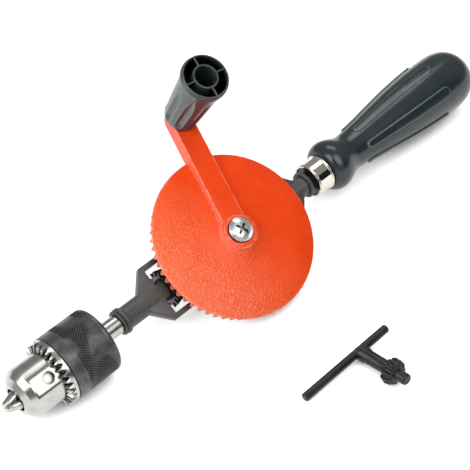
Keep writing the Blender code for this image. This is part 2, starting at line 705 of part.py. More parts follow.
def build_knob():
    """A moulded knob, hollow at its outer end round an inner tube on four thin ribs."""
    count = KNOB_FLUTES * KNOB_STATIONS
    foot = TOUCH_GAP
    end = foot + KNOB_LENGTH
    lip = end - KNOB_LIP_LENGTH
    groove = KNOB_LIP_RADIUS - KNOB_SHOULDER_RADIUS
    rings = [
        circle(KNOB_FOOT_RADIUS - groove, foot, count),
        circle(KNOB_FOOT_RADIUS, foot + groove, count),
    ]
    for share, depth_share in zip(KNOB_FLUTE_SHARES, KNOB_FLUTE_DEPTH_SHARES):
        height = share * KNOB_LENGTH
        depth = depth_share * KNOB_FLUTE_DEPTH
        rings.append(
            fluted_circle(knob_radius(height), height, depth, KNOB_FLUTES, KNOB_STATIONS)
        )
    rings += [
        circle(KNOB_SHOULDER_RADIUS, lip, count),
        circle(KNOB_LIP_RADIUS, lip + groove / 2, count),
        circle(KNOB_LIP_RADIUS, end - groove, count),
        circle(KNOB_LIP_RADIUS - groove, end, count),
    ]
    knob = piece("crank_knob", skinned(rings), knob_line, "knob_plastic")
    pin_hole = KNOB_PIN_RADIUS + TOUCH_GAP
    washer_room = foot + KNOB_WASHER + TOUCH_GAP
    tube_bore = KNOB_TUBE_RADIUS - KNOB_TUBE_WALL
    over = end + CUT_OVERRUN
    bore = [
        (0, -CUT_OVERRUN),
        (knob_washer_radius() + TOUCH_GAP, -CUT_OVERRUN),
        (knob_washer_radius() + TOUCH_GAP, washer_room),
        (pin_hole, washer_room),
        (pin_hole, KNOB_FLOOR),
        (tube_bore, KNOB_FLOOR),
        (tube_bore, over),
        (0, over),
    ]
    cut(knob, helper("knob_bore", spun(bore, WASHER_SIDES), knob_line))
    for quarter in range(4):
        pocket = helper(f"knob_pocket_{quarter + 1}", knob_pocket(over), knob_line)
        pocket.rotation_euler.z = KNOB_RIB_TURN + quarter * math.pi / 2
        cut(knob, pocket)


def knob_pocket(over):
    """A quarter of the space between the knob's wall and its inner tube."""
    wall = KNOB_LIP_RADIUS - KNOB_MOUTH_RADIUS
    low_radius = knob_radius(KNOB_FLOOR) - KNOB_FLUTE_DEPTH - wall
    half_angle = math.pi / 4
    shape = bmesh.new()
    rings = []
    for height, outer in ((KNOB_FLOOR, low_radius), (over, KNOB_MOUTH_RADIUS)):
        points = []
        for radius, turns in ((KNOB_TUBE_RADIUS, (1, 1 / 2, 0, -1 / 2, -1)), (outer, POCKET_WALL_SHARES)):
            slack = math.asin(KNOB_RIB / 2 / radius)
            for turn in turns:
                angle = turn * (half_angle - slack)
                points.append((radius * math.cos(angle), radius * math.sin(angle), height))
        rings.append([shape.verts.new(point) for point in points])
    bridge(shape, rings[0], rings[1])
    for ring in rings:
        shape.faces.new(ring)
    return shape


def knob_washer_radius():
    return KNOB_FOOT_RADIUS - (KNOB_FOOT_RADIUS - KNOB_PIN_RADIUS) / 2


def build_knob_fixings():
    """The pin, riveted through the arm, and the washer that the knob runs against."""
    arm_foot = -ARM_THICKNESS - TOUCH_GAP
    head_low = KNOB_FLOOR + TOUCH_GAP
    head_top = head_low + KNOB_PIN_HEAD
    chamfer = KNOB_PIN_HEAD / 4
    pin = [
        (0, arm_foot - KNOB_PIN_FOOT),
        (KNOB_PIN_HEAD_RADIUS - chamfer, arm_foot - KNOB_PIN_FOOT),
        (KNOB_PIN_HEAD_RADIUS, arm_foot - KNOB_PIN_FOOT + chamfer),
        (KNOB_PIN_HEAD_RADIUS, arm_foot),
        (KNOB_PIN_RADIUS, arm_foot),
        (KNOB_PIN_RADIUS, head_low),
        (KNOB_PIN_HEAD_RADIUS, head_low),
        (KNOB_PIN_HEAD_RADIUS, head_top - chamfer),
        (KNOB_PIN_HEAD_RADIUS - chamfer, head_top),
        (0, head_top),
    ]
    piece("knob_pin", spun(pin, PIN_SIDES), knob_line, "plain_steel")
    bore = KNOB_PIN_RADIUS + TOUCH_GAP
    low = TOUCH_GAP
    washer = [
        (bore, low),
        (knob_washer_radius(), low),
        (knob_washer_radius(), low + KNOB_WASHER),
        (bore, low + KNOB_WASHER),
    ]
    piece("knob_washer", spun(washer, PIN_SIDES, True), knob_line, "plain_steel")


def frame_outline(inset, height):
    """The flat casting from above: two long rails joined by flanks to tube and stem."""
    half = FRAME_WIDTH / 2 - inset
    front = FRONT_WINDOW_END + WINDOW_LIP
    rear = REAR_WINDOW_END + WINDOW_LIP
    neck_front = NOSE_TUBE_RADIUS * NECK_SHARE
    neck_rear = STEM_RADIUS * NECK_SHARE
    slip = inset / 2
    flank = FLANK_LENGTH - inset
    outline = [
        (-front - flank, -neck_front),
        (-front + slip, -half),
        (rear - slip, -half),
        (rear + flank, -neck_rear),
        (rear + flank, neck_rear),
        (rear - slip, half),
        (-front + slip, half),
        (-front - flank, neck_front),
    ]
    return [Vector((x, y, height)) for x, y in outline]


def window(name, near, far):
    half = WINDOW_WIDTH / 2
    deep = FRAME_THICKNESS / 2 + CUT_OVERRUN
    low = (min(near, far), -half, -deep)
    high = (max(near, far), half, deep)
    return helper(name, block(low, high), drill)


def build_frame():
    """The casting that carries everything: tube, rails, centre web, stem and tang."""
    half_thick = FRAME_THICKNESS / 2
    layers = [
        frame_outline(FRAME_DRAFT, -half_thick),
        frame_outline(0, 0),
        frame_outline(0, half_thick - FRAME_BEVEL),
        frame_outline(FRAME_BEVEL / 3, half_thick - FRAME_BEVEL / 3),
        frame_outline(FRAME_BEVEL, half_thick),
    ]
    frame = piece("frame", skinned(layers), drill, "dark_cast_paint")
    half_web = CENTRE_WEB / 2
    cut(frame, window("front_window", -half_web, -FRONT_WINDOW_END))
    cut(frame, window("rear_window", half_web, REAR_WINDOW_END))
    collar_start = NOSE_TUBE_END - NOSE_COLLAR_LENGTH
    step = NOSE_COLLAR_RADIUS - NOSE_TUBE_RADIUS
    tube = [
        (0, pinion_end() + TOUCH_GAP),
        (NOSE_TUBE_RADIUS, pinion_end() + TOUCH_GAP),
        (NOSE_TUBE_RADIUS, collar_start - step),
        (NOSE_COLLAR_RADIUS, collar_start),
        (NOSE_COLLAR_RADIUS, NOSE_TUBE_END - step / 2),
        (NOSE_COLLAR_RADIUS - step / 2, NOSE_TUBE_END),
        (0, NOSE_TUBE_END),
    ]
    fuse(frame, helper("nose_tube", spun(tube, TUBE_SIDES), drive_line))
    stem_start = REAR_WINDOW_END + WINDOW_LIP
    collar_end = STEM_COLLAR_PLACE + STEM_COLLAR_LENGTH
    rim = STEM_COLLAR_LENGTH / 4
    stem = [
        (0, stem_start),
        (STEM_RADIUS, stem_start),
        (STEM_RADIUS, STEM_COLLAR_PLACE),
        (STEM_COLLAR_RADIUS - rim, STEM_COLLAR_PLACE),
        (STEM_COLLAR_RADIUS, STEM_COLLAR_PLACE + rim),
        (STEM_COLLAR_RADIUS, collar_end - rim),
        (STEM_COLLAR_RADIUS - rim, collar_end),
        (TANG_RADIUS, collar_end),
        (TANG_RADIUS, TANG_END - TANG_RADIUS / 2),
        (TANG_RADIUS / 2, TANG_END),
        (0, TANG_END),
    ]
    fuse(frame, helper("stem", spun(stem, TUBE_SIDES), handle_line))
    boss = [
        (0, 0),
        (FRAME_BOSS_RADIUS, 0),
        (FRAME_BOSS_RADIUS, FRAME_BOSS_HEIGHT),
        (0, FRAME_BOSS_HEIGHT),
    ]
    fuse(frame, helper("axle_boss", spun(boss, TUBE_SIDES), wheel_line))
    cut_frame_bores(frame)


def cut_frame_bores(frame):
    half_web = CENTRE_WEB / 2
    tube_bore = SPINDLE_RADIUS + TOUCH_GAP
    bore_low = pinion_end() - CUT_OVERRUN
    bore_high = NOSE_TUBE_END + CUT_OVERRUN
    front_bore = [(0, bore_low), (tube_bore, bore_low), (tube_bore, bore_high), (0, bore_high)]
    cut(frame, helper("spindle_bore", spun(front_bore, WASHER_SIDES), drive_line))
    journal = SPINDLE_JOURNAL_RADIUS + TOUCH_GAP
    low = half_web - SPINDLE_JOURNAL_LENGTH - TOUCH_GAP
    web_bore = [
        (0, low),
        (journal, low),
        (journal, half_web + CUT_OVERRUN),
        (0, half_web + CUT_OVERRUN),
    ]
    cut(frame, helper("journal_bore", spun(web_bore, PIN_SIDES), drive_line))
    pin = IDLER_PIN_RADIUS + TOUCH_GAP
    idler_bore = [
        (0, low),
        (pin, low),
        (pin, idler_pin_end() + TOUCH_GAP),
        (0, idler_pin_end() + TOUCH_GAP),
    ]
    cut(frame, helper("idler_pin_bore", spun(idler_bore, PIN_SIDES), handle_line))
    screw = WHEEL_SCREW_RADIUS + TOUCH_GAP
    deep = FRAME_THICKNESS / 2 + CUT_OVERRUN
    top = FRAME_BOSS_HEIGHT + CUT_OVERRUN
    screw_bore = [(0, -deep), (screw, -deep), (screw, top), (0, top)]
    cut(frame, helper("screw_bore", spun(screw_bore, PIN_SIDES), wheel_line))


def pinion_end():
    """The large end of both pinions, just inside the large end of the wheel's teeth."""
    return GEAR_RADIUS - TOUCH_GAP


def pinion_start():
    return GEAR_RADIUS * GEAR_INNER_SHARE - TOUCH_GAP


def idler_pin_end():
    return REAR_WINDOW_END + WINDOW_LIP + FLANK_LENGTH / 2


def pinion_shape(bore_radius):
    """A bevel pinion: teeth on a cone about local Z, and a plain hub at its small end."""
    ratio = PINION_TEETH / WHEEL_TEETH
    at_end = GEAR_RADIUS
    pitch_radius = at_end * ratio
    tooth = TOOTH_PITCH / 2 - TOOTH_BACKLASH
    corners = []
    for depth_share, half_share in PINION_FLANK_SHARES:
        rise = TOOTH_ADDENDUM if depth_share > 0 else TOOTH_DEDENDUM
        radius = pitch_radius + depth_share * rise
        corners.append((half_share * tooth / pitch_radius, radius, at_end))
    count = 2 * PINION_TEETH
    start, end = pinion_start(), pinion_end()
    root = pitch_radius - TOOTH_DEDENDUM
    hub_end = start - PINION_HUB_LENGTH
    hub_turn = math.tau / count / 2
    small_root = root * start / at_end
    rings = [
        circle(PINION_HUB_RADIUS, hub_end, count, hub_turn),
        circle(PINION_HUB_RADIUS, start - TOUCH_GAP, count, hub_turn),
        circle(min(PINION_HUB_RADIUS, small_root), start - TOUCH_GAP, count, hub_turn),
        tooth_ring(PINION_TEETH, start / at_end, corners),
        tooth_ring(PINION_TEETH, end / at_end, corners),
    ]
    return skinned(rings), hub_end, end, bore_radius


def build_pinion(name, line, bore_radius):
    shape, low, high, bore_radius = pinion_shape(bore_radius)
    half_tooth = math.pi / PINION_TEETH
    made = piece(name, shape, line, "plain_steel", Matrix.Rotation(-half_tooth, 4, "Z"))
    bore = [
        (0, low - CUT_OVERRUN),
        (bore_radius, low - CUT_OVERRUN),
        (bore_radius, high + CUT_OVERRUN),
        (0, high + CUT_OVERRUN),
    ]
    cut(made, helper(name + "_bore", spun(bore, PIN_SIDES), line))
    return made


def build_spindle():
    """The steel spindle, its pinion and cross pin, and the washer behind its shoulder."""
    washer_low = NOSE_TUBE_END + TOUCH_GAP
    shoulder = washer_low + NOSE_WASHER + TOUCH_GAP
    thread_start = CHUCK_REAR - TOUCH_GAP
    thread_end = CHUCK_REAR + SPINDLE_ENTRY
    web_face = CENTRE_WEB / 2
    inner_end = web_face - SPINDLE_JOURNAL_LENGTH
    journal_step = web_face + TOUCH_GAP
    chamfer = (SPINDLE_SHOULDER_RADIUS - SPINDLE_RADIUS) / 2
    profile = [
        (0, inner_end),
        (SPINDLE_JOURNAL_RADIUS, inner_end),
        (SPINDLE_JOURNAL_RADIUS, journal_step),
        (SPINDLE_RADIUS, journal_step),
        (SPINDLE_RADIUS, shoulder),
        (SPINDLE_SHOULDER_RADIUS, shoulder),
        (SPINDLE_SHOULDER_RADIUS, thread_start),
        (SPINDLE_THREAD_RADIUS, thread_start),
        (SPINDLE_THREAD_RADIUS, thread_end - chamfer),
        (SPINDLE_THREAD_RADIUS - chamfer, thread_end),
        (0, thread_end),
    ]
    spindle = piece("spindle", spun(profile, TUBE_SIDES), drive_line, "bright_steel")
    pinion = build_pinion("drive_pinion", drive_line, SPINDLE_RADIUS + TOUCH_GAP)
    pin_place = pinion_start() - TOUCH_GAP - PINION_HUB_LENGTH / 2
    pin_matrix = axes(Y, Z, X, (0, 0, pin_place))
    reach = PINION_HUB_RADIUS + CUT_OVERRUN
    hole_radius = PINION_PIN_RADIUS + TOUCH_GAP
    hole = [(0, -reach), (hole_radius, -reach), (hole_radius, reach), (0, reach)]
    pin_hole = helper("pinion_pin_hole", spun(hole, SMALL_SIDES), drive_line, pin_matrix)
    cut(spindle, pin_hole)
    cut(pinion, pin_hole)
    half = PINION_HUB_RADIUS
    pin = [(0, -half), (PINION_PIN_RADIUS, -half), (PINION_PIN_RADIUS, half), (0, half)]
    piece("pinion_pin", spun(pin, SMALL_SIDES), drive_line, "plain_steel", pin_matrix)
    washer_bore = SPINDLE_RADIUS + TOUCH_GAP
    rim = NOSE_WASHER / 4
    washer = [
        (washer_bore, washer_low),
        (NOSE_WASHER_RADIUS - rim, washer_low),
        (NOSE_WASHER_RADIUS, washer_low + rim),
        (NOSE_WASHER_RADIUS, washer_low + NOSE_WASHER - rim),
        (NOSE_WASHER_RADIUS - rim, washer_low + NOSE_WASHER),
        (washer_bore, washer_low + NOSE_WASHER),
    ]
    piece("spindle_washer", spun(washer, TUBE_SIDES, True), drive_line, "dark_cast_paint")


def build_idler():
    """The second pinion, free on a pin behind the wheel line, steadies the wheel."""
    build_pinion("idler_pinion", handle_line, IDLER_PIN_RADIUS + TOUCH_GAP)
    low = CENTRE_WEB / 2 - SPINDLE_JOURNAL_LENGTH
    high = idler_pin_end()
    pin = [(0, low), (IDLER_PIN_RADIUS, low), (IDLER_PIN_RADIUS, high), (0, high)]
    piece("idler_pin", spun(pin, PIN_SIDES), handle_line, "plain_steel")
    bore = IDLER_PIN_RADIUS + TOUCH_GAP
    spacer_low = CENTRE_WEB / 2 + TOUCH_GAP
    spacer_high = pinion_start() - TOUCH_GAP - PINION_HUB_LENGTH
    outer = (PINION_HUB_RADIUS + bore) / 2
    spacer = [
        (bore, spacer_low),
        (outer, spacer_low),
        (outer, spacer_high),
        (bore, spacer_high),
    ]
    piece("idler_spacer", spun(spacer, PIN_SIDES, True), handle_line, "plain_steel")


def jaw_centre(height):
    """How far a closed jaw's own axis is from the drive line at this height."""
    at_nose = JAW_OUTSIDE_AT_NOSE - JAW_RADIUS / math.cos(JAW_SLANT)
    return at_nose + (NOSE_FACE - height) * math.tan(JAW_SLANT)


def jaw_azimuth(number):
    """The jaws lie midway between the key holes."""
    return PILOT_AZIMUTH + math.pi / JAW_COUNT + math.tau * number / JAW_COUNT


def jaw_matrix(number):
    """A jaw's own axis: Z forward and inward along its slide, from the nose face."""
    turn = Matrix.Rotation(jaw_azimuth(number), 4, "Z")
    place = Matrix.Translation((jaw_centre(NOSE_FACE), 0, NOSE_FACE))
    return turn @ place @ Matrix.Rotation(-JAW_SLANT, 4, "Y")


def jaw_travel():
    return CHUCK_CAPACITY / 2 / math.sin(JAW_SLANT)


def nut_rear():
    return RING_REAR - NUT_LENGTH / 2 - TOUCH_GAP


def nut_front():
    return nut_rear() + NUT_LENGTH


def slide_bore(name, radius):
    """A slanted cylinder that runs past both ends of the chuck."""
    back = (NOSE_FACE - CHUCK_REAR) / math.cos(JAW_SLANT) + JAW_RADIUS + CUT_OVERRUN
    ahead = JAW_TIP - NOSE_FACE + CUT_OVERRUN
    profile = [(0, -back), (radius, -back), (radius, ahead), (0, ahead)]
    return [
        helper(f"{name}_{k + 1}", spun(profile, JAW_SIDES), drive_line, jaw_matrix(k))
        for k in range(JAW_COUNT)
    ]


def build_chuck_body():
    """The body: threaded on the spindle, with slanting bores for the jaws."""
    groove_rear = nut_rear() - TOUCH_GAP
    groove_front = nut_front() + TOUCH_GAP
    profile = [
        (0, CHUCK_REAR),
        (BODY_REAR_RADIUS, CHUCK_REAR),
        (BODY_REAR_RADIUS, groove_rear),
        (NUT_GROOVE_RADIUS, groove_rear),
        (NUT_GROOVE_RADIUS, groove_front),
        (BODY_RADIUS, groove_front),
        (BODY_RADIUS, BODY_SHOULDER),
        (DOME_RADIUS, DOME_PLACE),
        (NOSE_RADIUS, NOSE_FACE),
        (0, NOSE_FACE),
    ]
    body = piece("chuck_body", spun(profile, BODY_SIDES), drive_line, "bright_steel")
    socket = SPINDLE_THREAD_RADIUS + TOUCH_GAP
    socket_end = CHUCK_REAR + SPINDLE_ENTRY + TOUCH_GAP
    mouth = NOSE_FACE - NOSE_BORE_DEPTH
    bore = [
        (0, CHUCK_REAR - CUT_OVERRUN),
        (socket, CHUCK_REAR - CUT_OVERRUN),
        (socket, socket_end),
        (SHANK_BORE_RADIUS, socket_end),
        (SHANK_BORE_RADIUS, mouth),
        (NOSE_BORE_RADIUS, mouth),
        (NOSE_BORE_RADIUS, NOSE_FACE + CUT_OVERRUN),
        (0, NOSE_FACE + CUT_OVERRUN),
    ]
    cut(body, helper("chuck_bore", spun(bore, WASHER_SIDES), drive_line))
    for tool in slide_bore("jaw_bore", JAW_RADIUS + TOUCH_GAP):
        cut(body, tool)
    floor = BODY_RADIUS - PILOT_HOLE_DEPTH
    over = BODY_RADIUS + CUT_OVERRUN
    hole = [(0, floor), (PILOT_HOLE_RADIUS, floor), (PILOT_HOLE_RADIUS, over), (0, over)]
    flat_half = PILOT_FLAT_WIDTH / 2
    flat_low = (groove_front + TOUCH_GAP, -flat_half, BODY_RADIUS - PILOT_FLAT_DEPTH)
    flat_high = (PILOT_FLAT_END, flat_half, over)
    for k in range(JAW_COUNT):
        turn = Matrix.Rotation(PILOT_AZIMUTH + math.tau * k / JAW_COUNT, 4, "Z")
        hole_matrix = turn @ axes(Y, Z, X, (0, 0, PILOT_PLACE))
        flat_matrix = turn @ axes(Z, -Y, X)
        cut(body, helper(f"key_flat_{k + 1}", block(flat_low, flat_high), drive_line, flat_matrix))
        cut(body, helper(f"key_hole_{k + 1}", spun(hole, PIN_SIDES), drive_line, hole_matrix))


def build_sleeve():
    """The sleeve that the hand or the key turns, closed in at its rear by a lip."""
    rear = CHUCK_REAR
    front = RING_REAR - TOUCH_GAP / 2
    inner = SLEEVE_RADIUS - SLEEVE_WALL
    lip_bore = BODY_REAR_RADIUS + TOUCH_GAP
    rounding = SLEEVE_ROUNDING
    middle = rounding * (1 - math.sqrt(1 / 2))
    edge = TOUCH_GAP
    profile = [
        (lip_bore, rear),
        (SLEEVE_RADIUS - rounding, rear),
        (SLEEVE_RADIUS - middle, rear + middle),
        (SLEEVE_RADIUS, rear + rounding),
        (SLEEVE_RADIUS, front - edge),
        (SLEEVE_RADIUS - edge, front),
        (inner, front),
        (inner, rear + SLEEVE_LIP),
        (lip_bore, rear + SLEEVE_LIP),
    ]
    piece("chuck_sleeve", spun(profile, SLEEVE_SIDES, True), drive_line, "black_oxide_steel")


def build_gear_ring():
    """The bevel toothed ring on the front of the sleeve, which the key engages."""
    inner_front = BODY_RADIUS + TOUCH_GAP
    inner_rear = SLEEVE_RADIUS - SLEEVE_WALL
    rear = RING_REAR + TOUCH_GAP / 2
    step = nut_front() + TOUCH_GAP
    slope = KEY_TEETH / RING_TEETH
    rings = []
    for radius, lift in (
        (inner_front, 0),
        (RING_RADIUS - RING_CHAMFER, 0),
        (RING_RADIUS, -RING_CHAMFER),
    ):
        share = radius / RING_RADIUS
        pitch = math.tau / RING_TEETH
        height = PILOT_PLACE - slope * radius
        root = height - RING_DEDENDUM * share
        tip = height + RING_ADDENDUM * share + lift
        corners = [
            (pitch * RING_ROOT_SHARE, radius, root),
            (pitch * RING_TIP_SHARE, radius, tip),
        ]
        rings.append(tooth_ring(RING_TEETH, 1, corners))
    count = 2 * RING_TEETH
    turn = math.tau / count / 2
    loop = [
        *rings,
        circle(RING_RADIUS, rear + TOUCH_GAP, count, turn),
        circle(RING_RADIUS - TOUCH_GAP, rear, count, turn),
        circle(inner_rear, rear, count, turn),
        circle(inner_rear, step, count, turn),
        circle(inner_front, step, count, turn),
    ]
    shape = bmesh.new()
    made = [[shape.verts.new(point) for point in ring] for ring in loop]
    for ring, after in zip(made, made[1:] + made[:1]):
        bridge(shape, ring, after)
    piece("chuck_gear_ring", shape, drive_line, "bright_steel")


def build_nut():
    """The split nut, pressed into the sleeve, whose halves close round the jaws."""
    rear, front = nut_rear(), nut_front()
    outer = SLEEVE_RADIUS - SLEEVE_WALL - TOUCH_GAP
    clear = JAW_RADIUS / math.cos(JAW_SLANT) + TOUCH_GAP
    profile = [
        (jaw_centre(rear) + clear, rear),
        (outer, rear),
        (outer, front),
        (jaw_centre(front) + clear, front),
    ]
    slit = TOUCH_GAP / NUT_GROOVE_RADIUS
    for half in range(2):
        made = piece(
            f"chuck_nut_half_{half + 1}",
            spun(profile, NUT_HALF_SIDES, angle=math.pi - slit),
            drive_line,
            "plain_steel",
        )
        made.rotation_euler.z = half * math.pi + slit / 2


def build_jaws():
    """Three jaws: each is a slanting round bar, cut to a wedge where the three meet."""
    rear = nut_rear() - TOUCH_GAP
    grow = math.tan(JAW_TIP_TAPER)
    taper_end = JAW_TIP - (JAW_REAR_RADIUS - JAW_TIP_RADIUS) / grow
    wedge = [
        (0, rear),
        (JAW_REAR_RADIUS, rear),
        (JAW_REAR_RADIUS, taper_end),
        (JAW_TIP_RADIUS, JAW_TIP),
        (0, JAW_TIP),
    ]
    third = math.tau / JAW_COUNT
    apart = TOUCH_GAP / 2 / math.sin(third / 2)
    back = (NOSE_FACE - rear) / math.cos(JAW_SLANT) + JAW_RADIUS + CUT_OVERRUN
    ahead = JAW_TIP - NOSE_FACE + CUT_OVERRUN
    bar = [(0, -back), (JAW_RADIUS, -back), (JAW_RADIUS, ahead), (0, ahead)]
    for k in range(JAW_COUNT):
        jaw = piece(
            f"jaw_{k + 1}", spun(bar, JAW_SIDES), drive_line, "bright_steel", jaw_matrix(k)
        )
        turn = Matrix.Rotation(jaw_azimuth(k), 4, "Z")
        place = turn @ Matrix.Translation((apart, 0, 0)) @ Matrix.Rotation(-third / 2, 4, "Z")
        sector = helper(f"jaw_wedge_{k + 1}", spun(wedge, WEDGE_SIDES, angle=third), drive_line, place)
        combine(jaw, sector, "INTERSECT")


def build_ferrule():
    """A thin plated tube with a rolled bead at each end."""
    rear = FERRULE_FRONT + FERRULE_LENGTH
    inner = FERRULE_RADIUS - FERRULE_WALL
    bead = FERRULE_RADIUS + FERRULE_BEAD
    profile = [
        (inner, FERRULE_FRONT),
        (FERRULE_RADIUS, FERRULE_FRONT),
        (bead, FERRULE_FRONT + FERRULE_BEAD),
        (FERRULE_RADIUS, FERRULE_FRONT + 3 * FERRULE_BEAD),
        (FERRULE_RADIUS, rear - 3 * FERRULE_BEAD),
        (bead + FERRULE_BEAD, rear - FERRULE_BEAD),
        (bead, rear),
        (inner, rear),
    ]
    piece("ferrule", spun(profile, FERRULE_SIDES, True), handle_line, "nickel_plate")


def padded_circle(place, pad_height):
    """A ring with a raised place for each pad, flat-topped with sloping sides."""
    base = handle_radius(place)
    steps = (
        (-PAD_FOOT_ANGLE, 0),
        (-PAD_TOP_ANGLE, pad_height),
        (0, pad_height),
        (PAD_TOP_ANGLE, pad_height),
        (PAD_FOOT_ANGLE, 0),
        (math.pi / HANDLE_PADS, 0),
    )
    ring = []
    for pad in range(HANDLE_PADS):
        middle = math.tau * pad / HANDLE_PADS
        for angle, rise in steps:
            radius = base + rise
            across = radius * math.cos(middle + angle)
            ring.append(Vector((across, radius * math.sin(middle + angle), place)))
    return ring


def handle_rings():
    spigot = FERRULE_RADIUS - FERRULE_WALL - TOUCH_GAP
    front = FERRULE_FRONT + FERRULE_LENGTH + TOUCH_GAP
    count = len(padded_circle(front, 0))
    rings = [circle(spigot, FERRULE_FRONT + FERRULE_WALL, count), circle(spigot, front, count)]
    places = [front + share * (HANDLE_BULGE_PLACE - front) for share in HANDLE_FRONT_SHARES]
    neck = HANDLE_WAIST_PLACE - HANDLE_BULGE_PLACE
    places += [HANDLE_BULGE_PLACE + share * neck for share in HANDLE_NECK_SHARES]
    rings += [padded_circle(place, 0) for place in places]
    pad_top_start = HANDLE_PAD_START + HANDLE_PAD_SLOPE
    rings.append(padded_circle(HANDLE_PAD_START, 0))
    for k in range(HANDLE_PAD_RINGS + 1):
        place = pad_top_start + (PAD_TOP_END - pad_top_start) * k / HANDLE_PAD_RINGS
        rings.append(padded_circle(place, HANDLE_PAD_HEIGHT))
    rings.append(padded_circle(HANDLE_PAD_END, 0))
    tail = HANDLE_END - HANDLE_GRIP_PLACE
    for share in HANDLE_END_SHARES:
        rings.append(padded_circle(HANDLE_GRIP_PLACE + share * tail, 0))
    return rings


def build_handle():
    """The moulded handle, pushed over the frame's tang."""
    turn = Matrix.Rotation(HANDLE_TURN, 4, "Z")
    handle = piece("handle", skinned(handle_rings()), handle_line, "handle_plastic", turn)
    socket = TANG_RADIUS + HANDLE_SOCKET_CLEARANCE
    low = FERRULE_FRONT - CUT_OVERRUN
    high = TANG_END + HANDLE_SOCKET_CLEARANCE
    bore = [(0, low), (socket, low), (socket, high), (0, high)]
    cut(handle, helper("tang_socket", spun(bore, PIN_SIDES), handle_line))


def key_matrix():
    """How the key lies: its gear and the bottom of its head touch the bench."""
    gear_place = KEY_BAR_TO_GEAR + KEY_GEAR_LENGTH * KEY_GEAR_CROWN_SHARE
    dip = math.asin((KEY_GEAR_RADIUS - KEY_HEAD_RADIUS) / gear_place)
    lift = KEY_HEAD_RADIUS
    roll = math.asin((lift - KEY_BAR_RADIUS) / KEY_BAR_LONG_SIDE)
    place = Matrix.Translation((KEY_BEHIND_WHEEL_LINE, -KEY_BESIDE_DRIVE_LINE, lift))
    turn = Matrix.Rotation(KEY_TURN, 4, "Z")
    tip = Matrix.Rotation(-dip, 4, "Y")
    return place @ turn @ tip @ Matrix.Rotation(roll, 4, "X") @ axes(Y, Z, X)


def build_key():
    """The loose key: a toothed cone and pilot on a shank, with a sliding-fit bar."""
    key_line = frame_empty("key_line", bench, key_matrix())
    gear_start = KEY_BAR_TO_GEAR
    crown = gear_start + KEY_GEAR_LENGTH * KEY_GEAR_CROWN_SHARE
    gear_end = gear_start + KEY_GEAR_LENGTH
    count = 2 * KEY_TEETH
    turn = math.tau / count / 2
    pitch = math.tau / KEY_TEETH
    root_half, tip_half = pitch * KEY_ROOT_SHARE, pitch * KEY_TIP_SHARE
    narrow = KEY_GEAR_RADIUS * KEY_GEAR_NARROW_SHARE
    deep = KEY_TOOTH_DEPTH
    chamfer = KEY_PILOT_RADIUS / 4
    round_count = 2 * count
    pilot_end = gear_end + KEY_PILOT_LENGTH
    tenon_end = -KEY_BAR_RADIUS

    def teeth(radius, height, depth):
        corners = [(root_half, radius - depth, height), (tip_half, radius, height)]
        return tooth_ring(KEY_TEETH, 1, corners)

    rings = [
        circle(KEY_HEAD_RADIUS, KEY_HEAD_START, count, turn),
        circle(KEY_HEAD_RADIUS, KEY_HEAD_LENGTH, count, turn),
        circle(KEY_SHANK_RADIUS, KEY_HEAD_LENGTH + chamfer, count, turn),
        circle(KEY_SHANK_RADIUS, gear_start, count, turn),
        teeth(KEY_GEAR_RADIUS - deep / 2, gear_start, deep / 2),
        teeth(KEY_GEAR_RADIUS, crown, deep),
        teeth(
            (KEY_GEAR_RADIUS + narrow) / 2 + chamfer / 2,
            (crown + gear_end) / 2 + chamfer,
            deep,
        ),
        teeth(narrow, gear_end, deep * narrow / KEY_GEAR_RADIUS),
        circle(KEY_PILOT_RADIUS, gear_end, count, turn),
        circle(KEY_PILOT_RADIUS, pilot_end - chamfer, count, turn),
        circle(KEY_PILOT_RADIUS - chamfer, pilot_end, count, turn),
    ]
    key = piece("key_body", skinned(rings), key_line, "black_key_steel")
    across = axes(Y, Z, X)
    reach = KEY_HEAD_RADIUS + CUT_OVERRUN
    saddle_radius = KEY_BAR_RADIUS + TOUCH_GAP
    saddle = [(0, -reach), (saddle_radius, -reach), (saddle_radius, reach), (0, reach)]
    cut(key, helper("bar_saddle", spun(saddle, PIN_SIDES), key_line, across))
    tenon_root = KEY_HEAD_LENGTH
    tenon = [
        (0, tenon_end),
        (KEY_TENON_RADIUS, tenon_end),
        (KEY_TENON_RADIUS, tenon_root),
        (0, tenon_root),
    ]
    fuse(key, helper("bar_tenon", spun(tenon, SMALL_SIDES), key_line))
    low = -KEY_BAR_LONG_SIDE
    high = KEY_BAR_LENGTH - KEY_BAR_LONG_SIDE
    edge = KEY_BAR_RADIUS / 4
    bar = [
        (0, low),
        (KEY_BAR_RADIUS - edge, low),
        (KEY_BAR_RADIUS, low + edge),
        (KEY_BAR_RADIUS, high - edge),
        (KEY_BAR_RADIUS - edge, high),
        (0, high),
    ]
    key_bar = piece("key_bar", spun(bar, PIN_SIDES), key_line, "black_key_steel", across)
    room = KEY_TENON_RADIUS + TOUCH_GAP
    hole = [(0, -reach), (room, -reach), (room, reach), (0, reach)]
    cut(key_bar, helper("tenon_hole", spun(hole, SMALL_SIDES), key_line))


def settle_on_origin():
    """Moves the bench empty so that everything stands on z = 0, centred on the origin."""
    bpy.context.view_layer.update()
    graph = bpy.context.evaluated_depsgraph_get()
    points = []
    for item in bpy.context.scene.objects:
        if item.type == "MESH" and not item.hide_render:
            evaluated = item.evaluated_get(graph)
            points += [evaluated.matrix_world @ vertex.co for vertex in evaluated.data.vertices]
    low = [min(point[k] for point in points) for k in range(3)]
    high = [max(point[k] for point in points) for k in range(3)]
    bench.location = (-(low[0] + high[0]) / 2, -(low[1] + high[1]) / 2, -low[2])
    bpy.context.view_layer.update()


build_frame()
build_wheel()
build_wheel_fixings()
build_knob()
build_knob_fixings()
build_spindle()
build_idler()
build_chuck_body()
build_sleeve()
build_gear_ring()
build_nut()
build_jaws()
build_ferrule()
build_handle()
build_key()
settle_on_origin()
